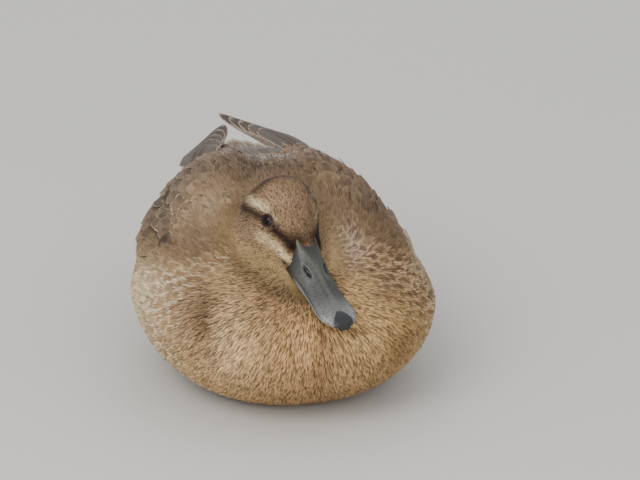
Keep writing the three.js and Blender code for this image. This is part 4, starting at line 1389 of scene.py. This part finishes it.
def shoulder_feathers():
    """The larger soft feathers of the folded wings, whose ends show through the coat."""
    rng = np.random.default_rng(bpy.context.scene.duck.seed)
    spots, lengths = Body.layout[1], Body.layout[4]
    chosen = (wing_share(spots) > 0.6) & (spots[:, 1] > -36) & (spots[:, 2] > 78)
    lengths = lengths[chosen]

    def look(tips):
        count = len(tips)
        return {**plumage(tips), "width": np.full(count, 0.08), "streak": np.full(count, 0.4)}

    sizes = {"length": lengths * 1.1, "width": lengths * 0.8, "lift": 1.25, "point": 0.5, "camber": 0.16}
    grow("plumage_shoulders", spots[chosen], vane_pattern(6, 8), rng, look=look, **sizes)


class DUCK_OT_flight(bpy.types.Operator):
    """Lay the long feathers: the tips of the folded wings, the inner feathers over the rump, and the tail"""

    bl_idname = "duck.flight"
    bl_label = "Flight feathers"

    def execute(self, context):
        quill = feather_material("flight_feather", 46, "#7b6f62")
        for side, sign in SIDES:
            plates(f"primary_vanes_{side}", primary_feathers(sign), 40, 8, quill, f"primaries_{side}")
            plates(f"tertial_vanes_{side}", tertial_feathers(sign), 36, 10, quill, f"tertials_{side}")
        plates("tail_vanes", tail_feathers(), 32, 8, quill, "tail")
        shoulder_feathers()
        return {"FINISHED"}


# ---------- the feet ----------
FOOT_ACROSS, HEEL, KNUCKLE, TOE = 31.0, 52.0, 8.0, 48.0
TOES = ((-30, 0.84), (-4, 1.0), (22, 0.92))  # each toe's turn in degrees, and its share of the longest


def limb_section(share, start, end, wide, rise, drop, square):
    """The section of a straight limb that lies along the ground, at shares of its length."""
    return {
        "at": start + np.multiply.outer(share, end - start),
        "side": np.array((1.0, 0, 0)),
        "up": np.array((0, 0, 1.0)),
        "wide": wide,
        "rise": rise,
        "drop": drop,
        "square": square,
    }


def toe(root, end):
    """One toe, narrower to its end, with three knuckles."""

    def section(share):
        knuckles = 1 + 0.13 * np.cos(share * 2 * math.pi * 3)
        opened = rounded(share, 0.05) * rounded(1 - share, 0.1) * knuckles
        sizes = ((3.4 - 1.9 * share) * opened, (3.0 - 1.7 * share) * opened, (2.0 - 0.4 * share) * opened)
        return limb_section(share, root, end, *sizes, 1.0)

    return swept("toe", 20, 36, section)


def shank(name, sign):
    """The lower leg, folded forwards from the heel, thicker at its joint."""
    heel = np.array((sign * (FOOT_ACROSS + 2), HEEL, 5.4))
    knuckle = np.array((sign * FOOT_ACROSS, KNUCKLE + 1, 4.2))

    def section(share):
        opened = rounded(share, 0.12) * rounded(1 - share, 0.04)
        joint = 1.5 * (1 - share) ** 3
        sizes = ((3.6 + joint) * opened, (3.8 + joint) * opened, (4.0 - 0.4 * share) * opened)
        return limb_section(share, heel, knuckle, *sizes, 0.9)

    return swept(name, 24, 32, section)


def webbed_foot(name, sign):
    """Three toes and the web between them, with soft folds and a hollow front edge from toe to toe."""
    root = np.array((sign * FOOT_ACROSS, KNUCKLE, 2.4))
    whole = bmesh.new()
    for turn, share in TOES:
        angle = math.radians(turn * sign)
        taken(whole, toe(root, root + np.array((math.sin(angle), -math.cos(angle), 0)) * (TOE * share + 3)))
    web = bmesh.new()
    bmesh.ops.create_grid(web, x_segments=36, y_segments=14, size=1)
    for corner in web.verts:
        s, t = (corner.co.x + 1) / 2, (corner.co.y + 1) / 2
        gap = 0 if s < 0.5 else 1
        half = s * 2 - gap
        first, second = TOES[gap], TOES[gap + 1]
        arch = math.sin(half * math.pi)
        reach = TOE * (first[1] + (second[1] - first[1]) * half) * (1 - 0.16 * arch) * t
        turn = math.radians((TOES[0][0] + (TOES[2][0] - TOES[0][0]) * s) * sign)
        level = 1.9 - 0.7 * arch * t + 0.18 * math.sin(half * math.pi * 7) * t
        corner.co = Vector((root[0] + math.sin(turn) * reach, root[1] - math.cos(turn) * reach, level))
    bmesh.ops.recalc_face_normals(web, faces=web.faces)
    bmesh.ops.solidify(web, geom=web.faces[:], thickness=0.8)
    bmesh.ops.scale(web, vec=(MM, MM, MM), verts=web.verts)
    part = bpy.data.meshes.new("web")
    web.to_mesh(part)
    web.free()
    taken(whole, part)
    mesh = bpy.data.meshes.new(name)
    whole.to_mesh(mesh)
    whole.free()
    return shaded(mesh)


def foot_material():
    """Scaled leathery skin, grown: orange, matt, with small plates and darker creases between them."""
    material, tree, _ = new_material("scaled_skin", 0.5)
    place = add_node(tree, "ShaderNodeTexCoord").outputs["Object"]
    cells = {"Vector": place, "Scale": FOOT_PLATES}
    plate = add_node(tree, "ShaderNodeTexVoronoi", cells, feature="DISTANCE_TO_EDGE").outputs["Distance"]
    crease = add_node(tree, "ShaderNodeMapRange", {0: plate, 1: 0.0, 2: 0.12, 3: 1.0, 4: 0.0})
    skin = rgba(bpy.context.scene.duck.foot_colour)
    colour = add_node(tree, "ShaderNodeMix", {0: crease, 6: skin, 7: rgba("#6d3c1c")}, data_type="RGBA")
    return finished(material, colour, plate, 0.5, 0.4 * MM)


class DUCK_OT_feet(bpy.types.Operator):
    """Fold the legs under the belly, with webbed feet flat on the ground"""

    bl_idname = "duck.feet"
    bl_label = "Legs and feet"

    def execute(self, context):
        leather = foot_material()
        for side, sign in SIDES:
            show(webbed_foot(f"webbed_foot_{side}", sign), leather, "feet", f"foot_{side}")
            show(shank(f"shank_{side}", sign), leather, "feet", f"leg_{side}")
        return {"FINISHED"}


# ---------- the stage ----------
CAMERA_TURN, CAMERA_HEIGHT = math.radians(-8), math.radians(20)
CAMERA_DISTANCE, CAMERA_LENS = 2.6, 243.75
AIM_ACROSS, AIM_UP = 0.0234, 0.0732  # what the camera looks at, across and up from the origin in its own view
LAMPS = (
    ("key", (-0.9, -1.1, 1.3), 1.1, 18, (1.0, 0.97, 0.92)),
    ("front", (-0.3, -1.8, 0.45), 1.2, 14, (1.0, 0.98, 0.95)),
    ("back", (0.3, 1.4, 1.2), 1.0, 4, (1.0, 1.0, 1.0)),
)


def facing(target, place):
    """The turn that points a lamp or camera at a target."""
    return (target - place).to_track_quat("-Z", "Y").to_euler()


class DUCK_OT_stage(bpy.types.Operator):
    """Set the floor, the soft lights and the camera"""

    bl_idname = "duck.stage"
    bl_label = "Stage"

    def execute(self, context):
        scene = context.scene
        mesh = started("floor", bmesh.ops.create_grid, x_segments=2, y_segments=2, size=6)
        matt, _, shader = new_material("matt_card", 0.9)
        shader.inputs["Base Color"].default_value = rgba(scene.duck.floor_colour)
        mesh.materials.append(matt)
        floor = bpy.data.objects.new("floor", mesh)
        scene.collection.objects.link(floor)

        world = bpy.data.worlds.new("studio")
        world.use_nodes = True
        background = world.node_tree.nodes["Background"]
        background.inputs["Color"].default_value = (0.94, 0.96, 1.0, 1)
        background.inputs["Strength"].default_value = 0.85
        scene.world = world
        for name, place, size, power, colour in LAMPS:
            lamp = bpy.data.lights.new(name, "AREA")
            lamp.size = size
            lamp.energy = power
            lamp.color = colour
            light = bpy.data.objects.new(name, lamp)
            light.location = place
            light.rotation_euler = facing(Vector((0, 0, 0.06)), Vector(place))
            scene.collection.objects.link(light)

        level = math.cos(CAMERA_HEIGHT)
        back = Vector((math.sin(CAMERA_TURN) * level, -math.cos(CAMERA_TURN) * level, math.sin(CAMERA_HEIGHT)))
        sideways = Vector((math.cos(CAMERA_TURN), math.sin(CAMERA_TURN), 0))
        camera = bpy.data.objects.new("camera", bpy.data.cameras.new("camera"))
        camera.data.sensor_width = 36
        camera.data.lens = CAMERA_LENS
        camera.location = back * CAMERA_DISTANCE
        aim = sideways * AIM_ACROSS + back.cross(sideways) * AIM_UP
        camera.rotation_euler = facing(aim, camera.location)
        scene.collection.objects.link(camera)
        scene.camera = camera
        return {"FINISHED"}


class DUCK_PT_panel(bpy.types.Panel):
    """The duck's buttons and settings"""

    bl_idname = "DUCK_PT_panel"
    bl_label = "Resting duck"
    bl_space_type = "VIEW_3D"
    bl_region_type = "UI"
    bl_category = "Duck"

    def draw(self, context):
        for operator in OPERATORS:
            self.layout.operator(operator.bl_idname)
        for name in DuckSettings.__annotations__:
            self.layout.prop(context.scene.duck, name)


OPERATORS = (
    DUCK_OT_stage,
    DUCK_OT_skin,
    DUCK_OT_plumage,
    DUCK_OT_bill,
    DUCK_OT_eyes,
    DUCK_OT_flight,
    DUCK_OT_feet,
)


def register():
    for one in (DuckSettings, *OPERATORS, DUCK_PT_panel):
        bpy.utils.register_class(one)
    bpy.types.Scene.duck = PointerProperty(type=DuckSettings)


def unregister():
    del bpy.types.Scene.duck
    for one in reversed((DuckSettings, *OPERATORS, DUCK_PT_panel)):
        bpy.utils.unregister_class(one)


def main():
    register()
    bpy.ops.duck.stage()
    bpy.ops.duck.skin()
    bpy.ops.duck.plumage()
    bpy.ops.duck.bill()
    bpy.ops.duck.eyes()
    bpy.ops.duck.flight()
    bpy.ops.duck.feet()


if __name__ == "__main__":
    main()
